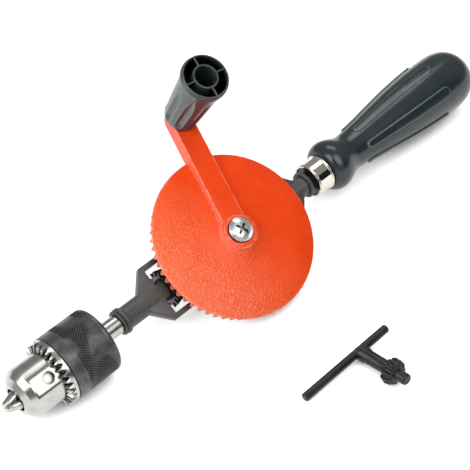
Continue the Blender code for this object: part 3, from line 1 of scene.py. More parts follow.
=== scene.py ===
# %% [markdown]
# A hand drill, dressed for its portrait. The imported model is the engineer's drill: every
# piece at its real size, on its real joints. This lesson gives each piece its finish and,
# where the solid is too plain, a finer skin worked out with numpy.

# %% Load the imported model
import json
import math

import bmesh
import bpy
import numpy as np
from mathutils import Matrix, Vector


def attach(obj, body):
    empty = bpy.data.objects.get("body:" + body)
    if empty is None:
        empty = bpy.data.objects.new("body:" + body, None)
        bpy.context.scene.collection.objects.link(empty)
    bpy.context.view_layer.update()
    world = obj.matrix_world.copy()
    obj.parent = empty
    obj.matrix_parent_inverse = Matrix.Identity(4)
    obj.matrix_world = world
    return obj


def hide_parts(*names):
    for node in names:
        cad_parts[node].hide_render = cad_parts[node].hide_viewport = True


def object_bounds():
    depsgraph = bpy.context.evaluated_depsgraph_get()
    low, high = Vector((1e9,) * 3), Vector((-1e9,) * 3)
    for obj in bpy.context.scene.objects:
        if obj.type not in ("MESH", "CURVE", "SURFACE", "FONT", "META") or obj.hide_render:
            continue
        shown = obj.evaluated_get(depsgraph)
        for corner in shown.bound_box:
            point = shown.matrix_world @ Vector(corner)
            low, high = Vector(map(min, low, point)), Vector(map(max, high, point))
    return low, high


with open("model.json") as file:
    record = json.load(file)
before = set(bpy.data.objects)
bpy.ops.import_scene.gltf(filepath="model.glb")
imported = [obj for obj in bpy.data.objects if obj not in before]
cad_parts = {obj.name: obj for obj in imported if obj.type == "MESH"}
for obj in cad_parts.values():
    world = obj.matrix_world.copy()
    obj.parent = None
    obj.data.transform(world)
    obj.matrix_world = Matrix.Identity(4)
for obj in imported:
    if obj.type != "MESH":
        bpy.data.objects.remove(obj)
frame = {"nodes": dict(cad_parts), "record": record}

CAD_BOX = [list(map(float, corner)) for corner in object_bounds()]

# %% [markdown]
# Everything on the drill is measured from two lines that cross: the drive line, on which
# chuck, spindle and handle lie, and the wheel line, square to it. The record holds both as
# joints, so the drill's own frame is read from there: X back towards the handle, Z out
# towards the crank. A matrix then carries any drill measure to where the drill lies.

# %% The drill's own frame
MM = 0.001
joints = {joint["name"]: joint for joint in frame["record"]["behaviour"]["joints"]}


def joint_frame(x_axis, z_axis, place):
    """A matrix whose X and Z are the given axes and whose Y is Z cross X."""
    x, z = Vector(x_axis).normalized(), Vector(z_axis).normalized()
    y = z.cross(x).normalized()
    turn = Matrix((x, y, z)).transposed().to_4x4()
    return Matrix.Translation(place) @ turn


wheel_joint, spindle_joint = joints["wheel_spin"], joints["spindle_spin"]
drill = joint_frame(spindle_joint["axis"], wheel_joint["axis"], wheel_joint["pos_m"])
chuck_line = drill @ Matrix(((0, 0, -1, 0), (0, 1, 0, 0), (1, 0, 0, 0), (0, 0, 0, 1)))
grip_line = drill @ Matrix(((0, 0, 1, 0), (0, -1, 0, 0), (1, 0, 0, 0), (0, 0, 0, 1)))
print("drill stands", round(drill.translation.z / MM, 1), "mm over the bench")

# %% [markdown]
# The camera stands where the photographer stood: above the chuck end, looking down and
# along the drill. Its place and its three directions are given in the drill's own frame.

# %% Camera
PHOTO_PIXELS = 470
FOCAL_PIXELS = 1300.7
CAMERA_RIGHT = Vector((0.71100, -0.61173, 0.34680))
CAMERA_BACK = Vector((-0.46043, -0.03222, 0.88711))
CAMERA_PLACE = Vector((-0.292976, -0.020627, 0.581924))
camera_data = bpy.data.cameras.new("photo_camera")
camera = bpy.data.objects.new("photo_camera", camera_data)
bpy.context.scene.collection.objects.link(camera)
back = CAMERA_BACK.normalized()
right = (CAMERA_RIGHT - back * CAMERA_RIGHT.dot(back)).normalized()
up = back.cross(right)
aim = Matrix((right, up, back)).transposed().to_4x4()
camera.matrix_world = drill @ Matrix.Translation(CAMERA_PLACE) @ aim
camera_data.sensor_width = 36
camera_data.lens = FOCAL_PIXELS / PHOTO_PIXELS * camera_data.sensor_width
camera_data.clip_end = 20
bpy.context.scene.camera = camera
bpy.context.scene.view_settings.view_transform = "Standard"
print("camera is", round(camera.matrix_world.translation.length, 3), "m from the middle")

# %% [markdown]
# The drill is a catalogue shot on white. The floor is a plain pale sheet that also glows
# for the camera, so that it ends up white, yet it still takes the drill's shadow.
# An occlusion mask dims the glow wherever a piece comes close to the floor, which paints a soft contact
# shadow there.


# %% Floor
def new_material(name):
    """An empty node material and a helper that adds nodes to it."""
    material = bpy.data.materials.new(name)
    material.use_nodes = True
    tree = material.node_tree
    tree.nodes.clear()
    return material, tree


def add(tree, kind, inputs=None, **settings):
    """Adds a node. inputs maps socket names to values or to sockets to link from."""
    node = tree.nodes.new(kind)
    for key, value in settings.items():
        setattr(node, key, value)
    for key, value in (inputs or {}).items():
        socket = node.inputs[key]
        if isinstance(value, bpy.types.NodeSocket):
            tree.links.new(value, socket)
        else:
            socket.default_value = value
    return node


def ramp(tree, value, low, high, out_low=0.0, out_high=1.0):
    """Maps value from low..high to out_low..out_high, held at both ends."""
    node = add(tree, "ShaderNodeMapRange", {
        "Value": value, "From Min": low, "From Max": high,
        "To Min": out_low, "To Max": out_high,
    })
    return node.outputs["Result"]


def mixed_value(tree, factor, low, high):
    """A number between low and high, as factor goes from 0 to 1."""
    node = add(tree, "ShaderNodeMix", {"Factor": factor, "A": low, "B": high}, data_type="FLOAT")
    return node.outputs[0]


def combine(tree, operation, first, second):
    """One sum, product, difference or maximum of two numbers."""
    return add(tree, "ShaderNodeMath", {0: first, 1: second}, operation=operation).outputs[0]


def along(tree, vector, direction):
    """How far a vector reaches along a direction: their dot product."""
    node = add(tree, "ShaderNodeVectorMath", {0: vector, 1: direction}, operation="DOT_PRODUCT")
    return node.outputs["Value"]


FLOOR_HALF, FLOOR_DROP = 3.0, 0.0002
CONTACT_REACH, PAPER_GLOW = 0.02, 0.85
PAPER_GREY = (0.5, 0.5, 0.5, 1)
floor_mesh = bpy.data.meshes.new("floor")
corners = [(-1, -1), (1, -1), (1, 1), (-1, 1)]
floor_level = CAD_BOX[0][2] - FLOOR_DROP
floor_points = [(x * FLOOR_HALF, y * FLOOR_HALF, floor_level) for x, y in corners]
floor_mesh.from_pydata(floor_points, [], [(0, 1, 2, 3)])
floor = bpy.data.objects.new("floor", floor_mesh)
bpy.context.scene.collection.objects.link(floor)
floor_material, tree = new_material("white_sweep")
path = add(tree, "ShaderNodeLightPath")
seen = combine(tree, "MAXIMUM", path.outputs["Is Camera Ray"], path.outputs["Is Glossy Ray"])
seen = combine(tree, "MAXIMUM", seen, path.outputs["Is Transmission Ray"])
# Painted contact shadow: the glow fades where ambient occlusion finds parts close by.
sky = add(tree, "ShaderNodeAmbientOcclusion", {"Distance": CONTACT_REACH}, samples=8)
open_floor = ramp(tree, sky.outputs["AO"], 0.15, 0.5)
glow = ramp(tree, combine(tree, "MULTIPLY", seen, open_floor), 0, 1, 0, PAPER_GLOW)
paper = add(tree, "ShaderNodeBsdfDiffuse", {"Color": PAPER_GREY})
light = add(tree, "ShaderNodeEmission", {"Color": (1, 1, 1, 1), "Strength": glow})
both = add(tree, "ShaderNodeAddShader", {0: paper.outputs[0], 1: light.outputs[0]})
add(tree, "ShaderNodeOutputMaterial", {"Surface": both.outputs[0]})
floor_mesh.materials.append(floor_material)
print("floor at", round(floor_level / MM, 2), "mm")

# %% [markdown]
# Soft boxes light the drill: a large one to the left of the picture, which also draws the
# bright edges on the handle, a wide one overhead, one behind and a weak one to the right.
# Their places were chosen by what the photograph's own reflections show. The world
# is white to the camera. To everything else it is a grey room with a lighter ceiling and
# two dark places, one behind the camera and one over the handle's side, which bright
# metal shows as its black bands.

# %% World and lamps
CARD_DIRECTION = Vector((0.46, -0.50, 0.72))
world = bpy.data.worlds.new("studio")
bpy.context.scene.world = world
world.use_nodes = True
tree = world.node_tree
tree.nodes.clear()
path = add(tree, "ShaderNodeLightPath")
where = add(tree, "ShaderNodeTexCoord")
split = add(tree, "ShaderNodeSeparateXYZ", {0: where.outputs["Generated"]})
room = ramp(tree, split.outputs["Z"], -0.1, 0.9, 0.30, 0.34)
behind = tuple((camera.matrix_world.translation - drill.translation).normalized())
dark = ramp(tree, along(tree, where.outputs["Generated"], behind), 0.82, 0.97, 1.0, 0.06)
room = combine(tree, "MULTIPLY", room, dark)
card = tuple((drill.to_3x3() @ CARD_DIRECTION).normalized())
dark = ramp(tree, along(tree, where.outputs["Generated"], card), 0.925, 0.955, 1.0, 0.05)
room = combine(tree, "MULTIPLY", room, dark)
strength = mixed_value(tree, path.outputs["Is Camera Ray"], room, 1.0)
sky = add(tree, "ShaderNodeBackground", {"Color": (1, 1, 1, 1), "Strength": strength})
add(tree, "ShaderNodeOutputWorld", {"Surface": sky.outputs[0]})


def soft_box(name, place, size, brightness, aim_at=(0, 0, 0.02)):
    """An area lamp at a place in the drill's frame, turned to look at aim_at. size is its
    width and height. Its watts are pi times its area times the brightness it shows."""
    place = drill @ Vector(place)
    data = bpy.data.lights.new(name, "AREA")
    data.shape = "RECTANGLE"
    data.size, data.size_y = size
    data.energy = math.pi * size[0] * size[1] * brightness
    lamp = bpy.data.objects.new(name, data)
    bpy.context.scene.collection.objects.link(lamp)
    away = Vector(place) - Vector(aim_at)
    lamp.matrix_world = Matrix.Translation(place) @ away.to_track_quat("Z", "Y").to_matrix().to_4x4()
    return lamp


soft_box("left_box", (-0.95, 0.55, 0.55), (0.8, 1.0), 4.4)
soft_box("top_box", (-0.08, -0.10, 1.25), (0.9, 1.0), 3.2)
soft_box("back_box", (0.56, 0.95, 0.62), (0.75, 0.5), 3.0)
soft_box("right_box", (0.90, -1.00, 0.30), (0.5, 0.4), 2.0)

# %% [markdown]
# Real surfaces are never one flat colour. A few effects come back in most finishes, so each is a node
# group, built once. The edge mask compares the true surface with one whose edges are rounded off: where
# they differ, there is an edge. Finishes use it for wear and, on the orange paint, for a painted
# highlight. Mottle is slow noise that shifts colour and gloss. Speck is fine noise for grain, pits and
# dust. The gap shade finds the narrow gaps, between teeth for instance, and finishes darken them as
# painted shade.


# %% Effects shared by the finishes
def new_group(name, inputs, outputs):
    """A shader node group with float inputs {name: default} and float outputs."""
    tree = bpy.data.node_groups.new(name, "ShaderNodeTree")
    for key, value in inputs.items():
        socket = tree.interface.new_socket(key, in_out="INPUT", socket_type="NodeSocketFloat")
        socket.default_value = value
    for key in outputs:
        tree.interface.new_socket(key, in_out="OUTPUT", socket_type="NodeSocketFloat")
    return tree, add(tree, "NodeGroupInput"), tree.nodes.new("NodeGroupOutput")


def noise(tree, vector, scale, detail, roughness=0.5):
    """Cloudy noise from 0 to 1, finer as scale grows, with detail extra layers."""
    node = add(tree, "ShaderNodeTexNoise", {
        "Vector": vector, "Scale": scale, "Detail": detail, "Roughness": roughness,
    })
    return node.outputs["Fac"]


# An edge mask: finishes use it for wear and, on the orange paint, for a painted highlight.
edge_wear_and_highlight, given, result = new_group("edge_wear_and_highlight", {"Width": 0.0004, "Scratch Scale": 900.0}, ["Edge"])
rounded_normal = add(edge_wear_and_highlight, "ShaderNodeBevel", {"Radius": given.outputs["Width"]}, samples=4)
true_normal = add(edge_wear_and_highlight, "ShaderNodeNewGeometry")
alike = along(edge_wear_and_highlight, rounded_normal.outputs[0], true_normal.outputs["Normal"])
bend = ramp(edge_wear_and_highlight, alike, 0.995, 0.90)
where = add(edge_wear_and_highlight, "ShaderNodeTexCoord")
broken = noise(edge_wear_and_highlight, where.outputs["Object"], given.outputs["Scratch Scale"], 3.0)
broken = ramp(edge_wear_and_highlight, broken, 0.38, 0.58)
edge_wear_and_highlight.links.new(combine(edge_wear_and_highlight, "MULTIPLY", bend, broken), result.inputs["Edge"])

mottle, given, result = new_group("mottle", {"Scale": 60.0, "Contrast": 1.0}, ["Value"])
where = add(mottle, "ShaderNodeTexCoord")
cloud = noise(mottle, where.outputs["Object"], given.outputs["Scale"], 5.0, 0.6)
centred = combine(mottle, "SUBTRACT", cloud, 0.5)
scaled = combine(mottle, "MULTIPLY", centred, given.outputs["Contrast"])
mottle.links.new(scaled, result.inputs["Value"])

speck, given, result = new_group("speck", {"Scale": 2500.0}, ["Value"])
where = add(speck, "ShaderNodeTexCoord")
fine = noise(speck, where.outputs["Object"], given.outputs["Scale"], 2.0)
speck.links.new(fine, result.inputs["Value"])

turned_lines, given, result = new_group("turned_lines", {"Lines Scale": 1.0}, ["Height"])
where = add(turned_lines, "ShaderNodeTexCoord")
place = add(turned_lines, "ShaderNodeSeparateXYZ", {0: where.outputs["Object"]})
stretched = add(turned_lines, "ShaderNodeCombineXYZ", {"X": place.outputs["X"]})
rings = noise(turned_lines, stretched.outputs[0], given.outputs["Lines Scale"], 3.0)
turned_lines.links.new(rings, result.inputs["Height"])

# Painted shade: a mask that is 1 in narrow gaps, which the finishes darken.
painted_gap_shade, given, result = new_group("painted_gap_shade", {"Reach": 0.0015}, ["Depth"])
open_sky = add(painted_gap_shade, "ShaderNodeAmbientOcclusion", {"Distance": given.outputs["Reach"]}, samples=6)
painted_gap_shade.links.new(ramp(painted_gap_shade, open_sky.outputs["AO"], 0.80, 0.35), result.inputs["Depth"])
print("effects:", [g.name for g in bpy.data.node_groups])


# %% [markdown]
# A finish starts from one helper. It makes a Principled shader, whose fixed numbers sit on its own
# sockets, and mixes three colours: the base, its darker mottle and what shows on the edges, which is
# wear on most finishes and a painted highlight on the orange paint.


# %% Finish helper
def effect(tree, group, **values):
    """Places an effect group with its own values."""
    node = add(tree, "ShaderNodeGroup", node_tree=group)
    for key, value in values.items():
        node.inputs[key.replace("_", " ")].default_value = value
    return node.outputs[0]


def mixed(tree, factor, low, high):
    """A colour between low and high, as factor goes from 0 to 1."""
    node = add(tree, "ShaderNodeMix", {"Factor": factor}, data_type="RGBA")
    for socket, value in ((node.inputs[6], low), (node.inputs[7], high)):
        if isinstance(value, bpy.types.NodeSocket):
            tree.links.new(value, socket)
        else:
            socket.default_value = (*value, 1)
    return node.outputs[2]


def shader(tree, colour, roughness, metallic=0.0, bump=None, bump_depth=0.0001, **fixed):
    """The Principled shader and its output, with an optional bump height in metres."""
    inputs = {"Base Color": colour, "Roughness": roughness, "Metallic": metallic}
    if bump is not None:
        relief = add(tree, "ShaderNodeBump", {"Height": bump, "Distance": bump_depth, "Strength": 1.0})
        inputs["Normal"] = relief.outputs[0]
    node = add(tree, "ShaderNodeBsdfPrincipled", inputs)
    for key, value in fixed.items():
        node.inputs[key.replace("_", " ")].default_value = value
    add(tree, "ShaderNodeOutputMaterial", {"Surface": node.outputs[0]})
    return node


finishes = {}

# %% [markdown]
# The wheel is cast and sprayed orange. The casting's skin is pebbled, more strongly on the side that now
# lies towards the chuck. That side also carries painted light: its paint is lighter, its pebble tops
# carry painted highlights, and it is more glossy. This is part of the paint here, so it goes round with
# the wheel. Flanks and edges carry painted highlights too, and painted shade darkens the gaps between
# the teeth.

# %% Orange cast paint
PEBBLE_SCALE, PEBBLE_RISE = 900.0, 0.00115
ROUGH_AND_LIT_DIRECTION, ROUGH_AND_LIT_SPAN = (-0.92, -0.38, 0.0), (-0.012, 0.036)
finishes["orange_cast_paint"], tree = new_material("orange_cast_paint")
where = add(tree, "ShaderNodeTexCoord")
pebbles = noise(tree, where.outputs["Object"], PEBBLE_SCALE, 2.0)
patches = effect(tree, mottle, Scale=26.0, Contrast=1.0)
own = add(tree, "ShaderNodeMapping", {
    "Vector": where.outputs["Object"], "Location": drill.translation,
    "Rotation": drill.to_euler(),
}, vector_type="TEXTURE")
aside = along(tree, own.outputs[0], ROUGH_AND_LIT_DIRECTION)
ragged = combine(tree, "ADD", aside, combine(tree, "MULTIPLY", patches, 0.05))
rough_and_lit_side = ramp(tree, ragged, *ROUGH_AND_LIT_SPAN)
strong = ramp(tree, patches, -0.12, 0.16, 0.6, 1.0)
strong = combine(tree, "MULTIPLY", strong, mixed_value(tree, rough_and_lit_side, 0.22, 1.0))
height = combine(tree, "MULTIPLY", pebbles, strong)
tint = ramp(tree, effect(tree, mottle, Scale=90.0, Contrast=1.0), -0.25, 0.25)
colour = mixed(tree, tint, (0.74, 0.050, 0.006), (0.85, 0.068, 0.009))
# Painted highlight on the pebble tops of the lit side.
pebble_highlight = ramp(tree, pebbles, 0.52, 0.70, 0.0, 0.75)
pebble_highlight = combine(tree, "MULTIPLY", pebble_highlight, rough_and_lit_side)
colour = mixed(tree, pebble_highlight, colour, (1.0, 0.24, 0.07))
# Painted highlight: the side towards the chuck is painted a lighter orange.
colour = mixed(tree, combine(tree, "MULTIPLY", rough_and_lit_side, 0.36), colour, (0.98, 0.18, 0.036))
# Painted highlight: the flanks, faces that turn away from the wheel line, are painted lighter.
surface = add(tree, "ShaderNodeNewGeometry")
upright = along(tree, surface.outputs["Normal"], tuple(wheel_joint["axis"]))
flank_highlight = ramp(tree, upright, 0.85, 0.5)
colour = mixed(tree, combine(tree, "MULTIPLY", flank_highlight, 0.5), colour, (0.92, 0.22, 0.13))
# Painted highlight along the edges, in a light orange.
edges = effect(tree, edge_wear_and_highlight, Width=0.0009, Scratch_Scale=400.0)
colour = mixed(tree, edges, colour, (1.0, 0.42, 0.26))
# Painted shade: gaps between the teeth and round the hub are darkened.
gap_shade_mask = combine(tree, "MULTIPLY", effect(tree, painted_gap_shade, Reach=0.0012), 0.8)
colour = mixed(tree, gap_shade_mask, colour, (0.12, 0.010, 0.002))
gloss = ramp(tree, effect(tree, speck, Scale=900.0), 0.3, 0.7, 0.36, 0.50)
gloss = combine(tree, "MULTIPLY", gloss, ramp(tree, rough_and_lit_side, 0, 1, 1.0, 0.5))
painted = shader(tree, colour, gloss, 0.0, height, PEBBLE_RISE)
lit_side = ramp(tree, aside, *ROUGH_AND_LIT_SPAN)
shine = combine(tree, "MAXIMUM", lit_side, flank_highlight)
tree.links.new(ramp(tree, shine, 0, 1, 0.08, 0.65), painted.inputs["Specular IOR Level"])

# %% [markdown]
# The frame is the same kind of casting in a dark grey, with a finer skin. Its inner corners and narrow
# gaps get painted shade, near black.

# %% Dark cast paint
finishes["dark_cast_paint"], tree = new_material("dark_cast_paint")
pebbles = effect(tree, speck, Scale=1100.0)
tint = ramp(tree, effect(tree, mottle, Scale=120.0, Contrast=1.0), -0.2, 0.2)
colour = mixed(tree, tint, (0.044, 0.045, 0.044), (0.076, 0.076, 0.073))
edges = effect(tree, edge_wear_and_highlight, Width=0.0004, Scratch_Scale=700.0)
colour = mixed(tree, combine(tree, "MULTIPLY", edges, 0.45), colour, (0.17, 0.165, 0.155))
# Painted shade, near black, in inner corners and narrow gaps.
gap_shade_mask = combine(tree, "MULTIPLY", effect(tree, painted_gap_shade, Reach=0.007), 0.9)
colour = mixed(tree, gap_shade_mask, colour, (0.004, 0.004, 0.004))
gloss = ramp(tree, pebbles, 0.3, 0.7, 0.34, 0.50)
shader(tree, colour, gloss, 0.0, pebbles, 0.00018)

# %% [markdown]
# Handle and knob are mouldings. Both are glossy in the mass, with a faint cloudiness and tiny dust
# specks, and the knob is the greyer of the two. Pad outlines and flute edges are painted lighter, as a
# painted highlight, and the knob's inside gets painted shade.

# %% Mouldings
for name, dark, light, low_gloss, high_gloss in (
    ("handle_plastic", (0.013, 0.021, 0.023), (0.022, 0.033, 0.036), 0.16, 0.26),
    ("knob_plastic", (0.036, 0.045, 0.047), (0.058, 0.070, 0.072), 0.20, 0.30),
):
    finishes[name], tree = new_material(name)
    tint = ramp(tree, effect(tree, mottle, Scale=70.0, Contrast=1.0), -0.2, 0.2)
    colour = mixed(tree, tint, dark, light)
    dust = ramp(tree, effect(tree, speck, Scale=3200.0), 0.70, 0.80, 0.0, 0.25)
    colour = mixed(tree, dust, colour, (0.30, 0.31, 0.31))
    # Painted highlight: lighter along pad outlines and flute edges.
    worn = add(tree, "ShaderNodeAttribute", attribute_name="worn")
    colour = mixed(tree, worn.outputs["Fac"], colour, (0.22, 0.25, 0.26))
    # Painted shade: near black deep inside the knob, with less shine there.
    hollow = add(tree, "ShaderNodeAttribute", attribute_name="hollow")
    colour = mixed(tree, hollow.outputs["Fac"], colour, (0.002, 0.002, 0.002))
    gloss = ramp(tree, effect(tree, mottle, Scale=300.0, Contrast=1.0), -0.2, 0.2, low_gloss, high_gloss)
    moulded = shader(tree, colour, gloss, 0.0, effect(tree, speck, Scale=1800.0), 0.00002)
    tree.links.new(ramp(tree, hollow.outputs["Fac"], 0, 1, 0.5, 0), moulded.inputs["Specular IOR Level"])

# %% [markdown]
# The chuck body and spindle are turned steel: fine rings run round them, because the tool
# travelled along the drive line, which is X here. The rings go into a small bump.

# %% Turned and plain metals
METALS = {
    "bright_steel": ((0.40, 0.39, 0.37), (0.53, 0.52, 0.49), 0.17, 0.28, 0.000012, 3500.0),
    "nickel_plate": ((0.66, 0.61, 0.53), (0.76, 0.71, 0.63), 0.05, 0.11, 0.000003, 1500.0),
    "zinc_plate": ((0.74, 0.76, 0.78), (0.86, 0.88, 0.89), 0.24, 0.34, 0.000008, 900.0),
    "plain_steel": ((0.08, 0.077, 0.074), (0.15, 0.145, 0.14), 0.28, 0.44, 0.00003, 1800.0),
}
for name, (dark, light, low_gloss, high_gloss, depth, scale) in METALS.items():
    finishes[name], tree = new_material(name)
    lines = effect(tree, turned_lines, Lines_Scale=scale)
    tint = ramp(tree, effect(tree, mottle, Scale=180.0, Contrast=1.0), -0.25, 0.25)
    colour = mixed(tree, tint, dark, light)
    # Painted shade, near black, in narrow gaps such as between teeth.
    colour = mixed(tree, effect(tree, painted_gap_shade, Reach=0.0028), colour, (0.008, 0.008, 0.007))
    gloss = ramp(tree, lines, 0.3, 0.7, low_gloss, high_gloss)
    shader(tree, colour, gloss, 1.0, lines, depth)

# %% [markdown]
# Sleeve and key are blacked steel. The black is thin, so high spots and edges rub bright. The knurl's
# grooves get painted shade.

# %% Blacked steels
for name, dark, light, edge, low_gloss, high_gloss in (
    ("black_oxide_steel", (0.040, 0.042, 0.044), (0.120, 0.123, 0.128), (0.28, 0.28, 0.29), 0.28, 0.44),
    ("black_key_steel", (0.016, 0.016, 0.015), (0.030, 0.029, 0.027), (0.14, 0.135, 0.13), 0.28, 0.44),
):
    finishes[name], tree = new_material(name)
    tint = ramp(tree, effect(tree, mottle, Scale=150.0, Contrast=1.0), -0.2, 0.2)
    colour = mixed(tree, tint, dark, light)
    # Painted shade: near black down in the knurl's grooves.
    groove = add(tree, "ShaderNodeAttribute", attribute_name="groove")
    colour = mixed(tree, groove.outputs["Fac"], colour, (0.002, 0.002, 0.002))
    edges = effect(tree, edge_wear_and_highlight, Width=0.0003, Scratch_Scale=800.0)
    colour = mixed(tree, combine(tree, "MULTIPLY", edges, 0.6), colour, edge)
    gloss = ramp(tree, effect(tree, mottle, Scale=400.0, Contrast=1.0), -0.2, 0.2, low_gloss, high_gloss)
    shader(tree, colour, gloss, 0.55, effect(tree, speck, Scale=2200.0), 0.00003)
print("finishes:", sorted(finishes))

# %% [markdown]
# Next come helpers that make the finer pieces. A piece is a grid of points: one parameter
# runs round or along it, the other across. The grid becomes quads in one go. A check of
# the enclosed volume turns the faces outward if they point in.

# %% Surface helpers
records = {item["node"]: item["material_slot"] for item in frame["record"]["subparts"]}
body_of_node = {
    node: body for body, nodes in frame["record"]["behaviour"]["bodies"].items() for node in nodes
}


def new_piece(name, mesh, body, slot, *replaced):
    """Shows a mesh as a piece that rides on a body in place of CAD nodes."""
    made = bpy.data.objects.new(name, mesh)
    bpy.context.scene.collection.objects.link(made)
    mesh.materials.clear()
    mesh.materials.append(finishes[slot])
    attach(made, body)
    if replaced:
        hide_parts(*replaced)
    return made


def grid_mesh(name, points, place, smooth_angle=40, **painted):
    """A closed skin from points[row, column, xyz]: columns close round, and the first and
    last rows are either one point repeated, which closes there, or joined to each other.
    painted holds values per point, stored under their names for the finishes to read."""
    rows, columns = points.shape[:2]
    row, column = np.meshgrid(np.arange(rows - 1), np.arange(columns), indexing="ij")
    after = (column + 1) % columns
    quads = np.stack([row * columns + column, row * columns + after,
                      (row + 1) * columns + after, (row + 1) * columns + column], axis=-1)
    flat = points.reshape(-1, 3)
    mesh = bpy.data.meshes.new(name)
    mesh.from_pydata(flat.tolist(), [], quads.reshape(-1, 4).tolist())
    for key, values in painted.items():
        layer = mesh.attributes.new(key, "FLOAT", "POINT")
        layer.data.foreach_set("value", np.clip(values, 0, 1).astype(np.float32).ravel())
    shape = bmesh.new()
    shape.from_mesh(mesh)
    bmesh.ops.remove_doubles(shape, verts=shape.verts, dist=2e-6)
    bmesh.ops.recalc_face_normals(shape, faces=shape.faces)
    if shape.calc_volume(signed=True) < 0:
        bmesh.ops.reverse_faces(shape, faces=shape.faces)
    shape.to_mesh(mesh)
    shape.free()
    mesh.transform(place)
    mesh.shade_smooth()
    mesh.set_sharp_from_angle(angle=math.radians(smooth_angle))
    return mesh


def eased(profile, ease, steps=4):
    """Rounds a profile's corners: each becomes a short curve between the points that lie
    ease before and after it, by the formula (1-t)^2 A + 2t(1-t) corner + t^2 B."""
    profile = np.asarray(profile, float)
    out = [profile[:1]]
    t = np.linspace(0, 1, steps + 1)[:, None]
    for before, corner, after in zip(profile[:-2], profile[1:-1], profile[2:]):
        back, ahead = before - corner, after - corner
        back_len, ahead_len = np.linalg.norm(back), np.linalg.norm(ahead)
        reach = min(ease, back_len * 0.45, ahead_len * 0.45)
        a, b = corner + back / back_len * reach, corner + ahead / ahead_len * reach
        out.append((1 - t) ** 2 * a + 2 * t * (1 - t) * corner + t ** 2 * b)
    out.append(profile[-1:])
    return np.vstack(out)


def turned(profile, columns):
    """Carries a profile of (radius, height) round Z: x = r cos a, y = r sin a, z = h."""
    angle = np.arange(columns) * math.tau / columns
    radius, height = profile[:, 0, None], profile[:, 1, None]
    return np.stack([radius * np.cos(angle), radius * np.sin(angle),
                     height + 0 * angle], axis=-1)


def merged_copy(node, smooth_angle, bevel):
    """A CAD node's shape with its loose triangles joined, so light runs smoothly over it."""
    source = frame["nodes"][node]
    mesh = source.data.copy()
    mesh.name = node + "_skin"
    shape = bmesh.new()
    shape.from_mesh(mesh)
    bmesh.ops.remove_doubles(shape, verts=shape.verts, dist=1e-6)
    bmesh.ops.dissolve_limit(shape, angle_limit=math.radians(0.5), verts=shape.verts, edges=shape.edges)
    shape.to_mesh(mesh)
    shape.free()
    mesh.shade_smooth()
    mesh.set_sharp_from_angle(angle=math.radians(smooth_angle))
    made = new_piece(node + "_skin", mesh, body_of_node[node], records[node], node)
    if bevel:
        edges = made.modifiers.new("eased_edges", "BEVEL")
        edges.width = bevel
        edges.segments = 2
        edges.limit_method = "ANGLE"
        edges.angle_limit = math.radians(38)
        edges.use_clamp_overlap = True
    return made


print("helpers ready")

# %% [markdown]
# The chuck's sleeve is rolled with a diamond knurl: two sets of fine grooves that wind
# round it in opposite ways leave rows of small raised diamonds. Here both sets are
# triangle waves over the angle and the height, and the lower of the two gives the
# surface. Years of hands rub a knurl flat in patches, so its depth varies slowly too.

# %% Knurled sleeve
SLEEVE_REAR, SLEEVE_FRONT = 82.0, 107.25
SLEEVE_RADIUS, SLEEVE_INNER, SLEEVE_BORE = 17.05, 15.0, 13.0
SLEEVE_LIP, SLEEVE_ROUNDING, SLEEVE_EDGE = 1.6, 1.5, 0.3
KNURL_REAR, KNURL_FRONT = 84.2, 101.2
DIAMONDS_ROUND, DIAMOND_TALL, KNURL_DEPTH = 72, 1.75, 0.42
STEPS_PER_DIAMOND = 8


def triangle_wave(turns):
    """0 at every whole turn and 1 half way between: 1 - |1 - 2 (t mod 1)|."""
    return 1 - np.abs(1 - 2 * np.mod(turns, 1))


def slow_waves(angle, height, seed, count=7):
    """Smooth patches from 0 to 1: a sum of sines whose whole-number turns close round."""
    draw = np.random.default_rng(seed)
    total = 0
    for _ in range(count):
        turns, rise, shift = draw.integers(1, 6), draw.uniform(-0.5, 0.5), draw.uniform(0, math.tau)
        total = total + np.sin(turns * angle + rise * height + shift)
    return np.clip(0.5 + total / count, 0, 1)


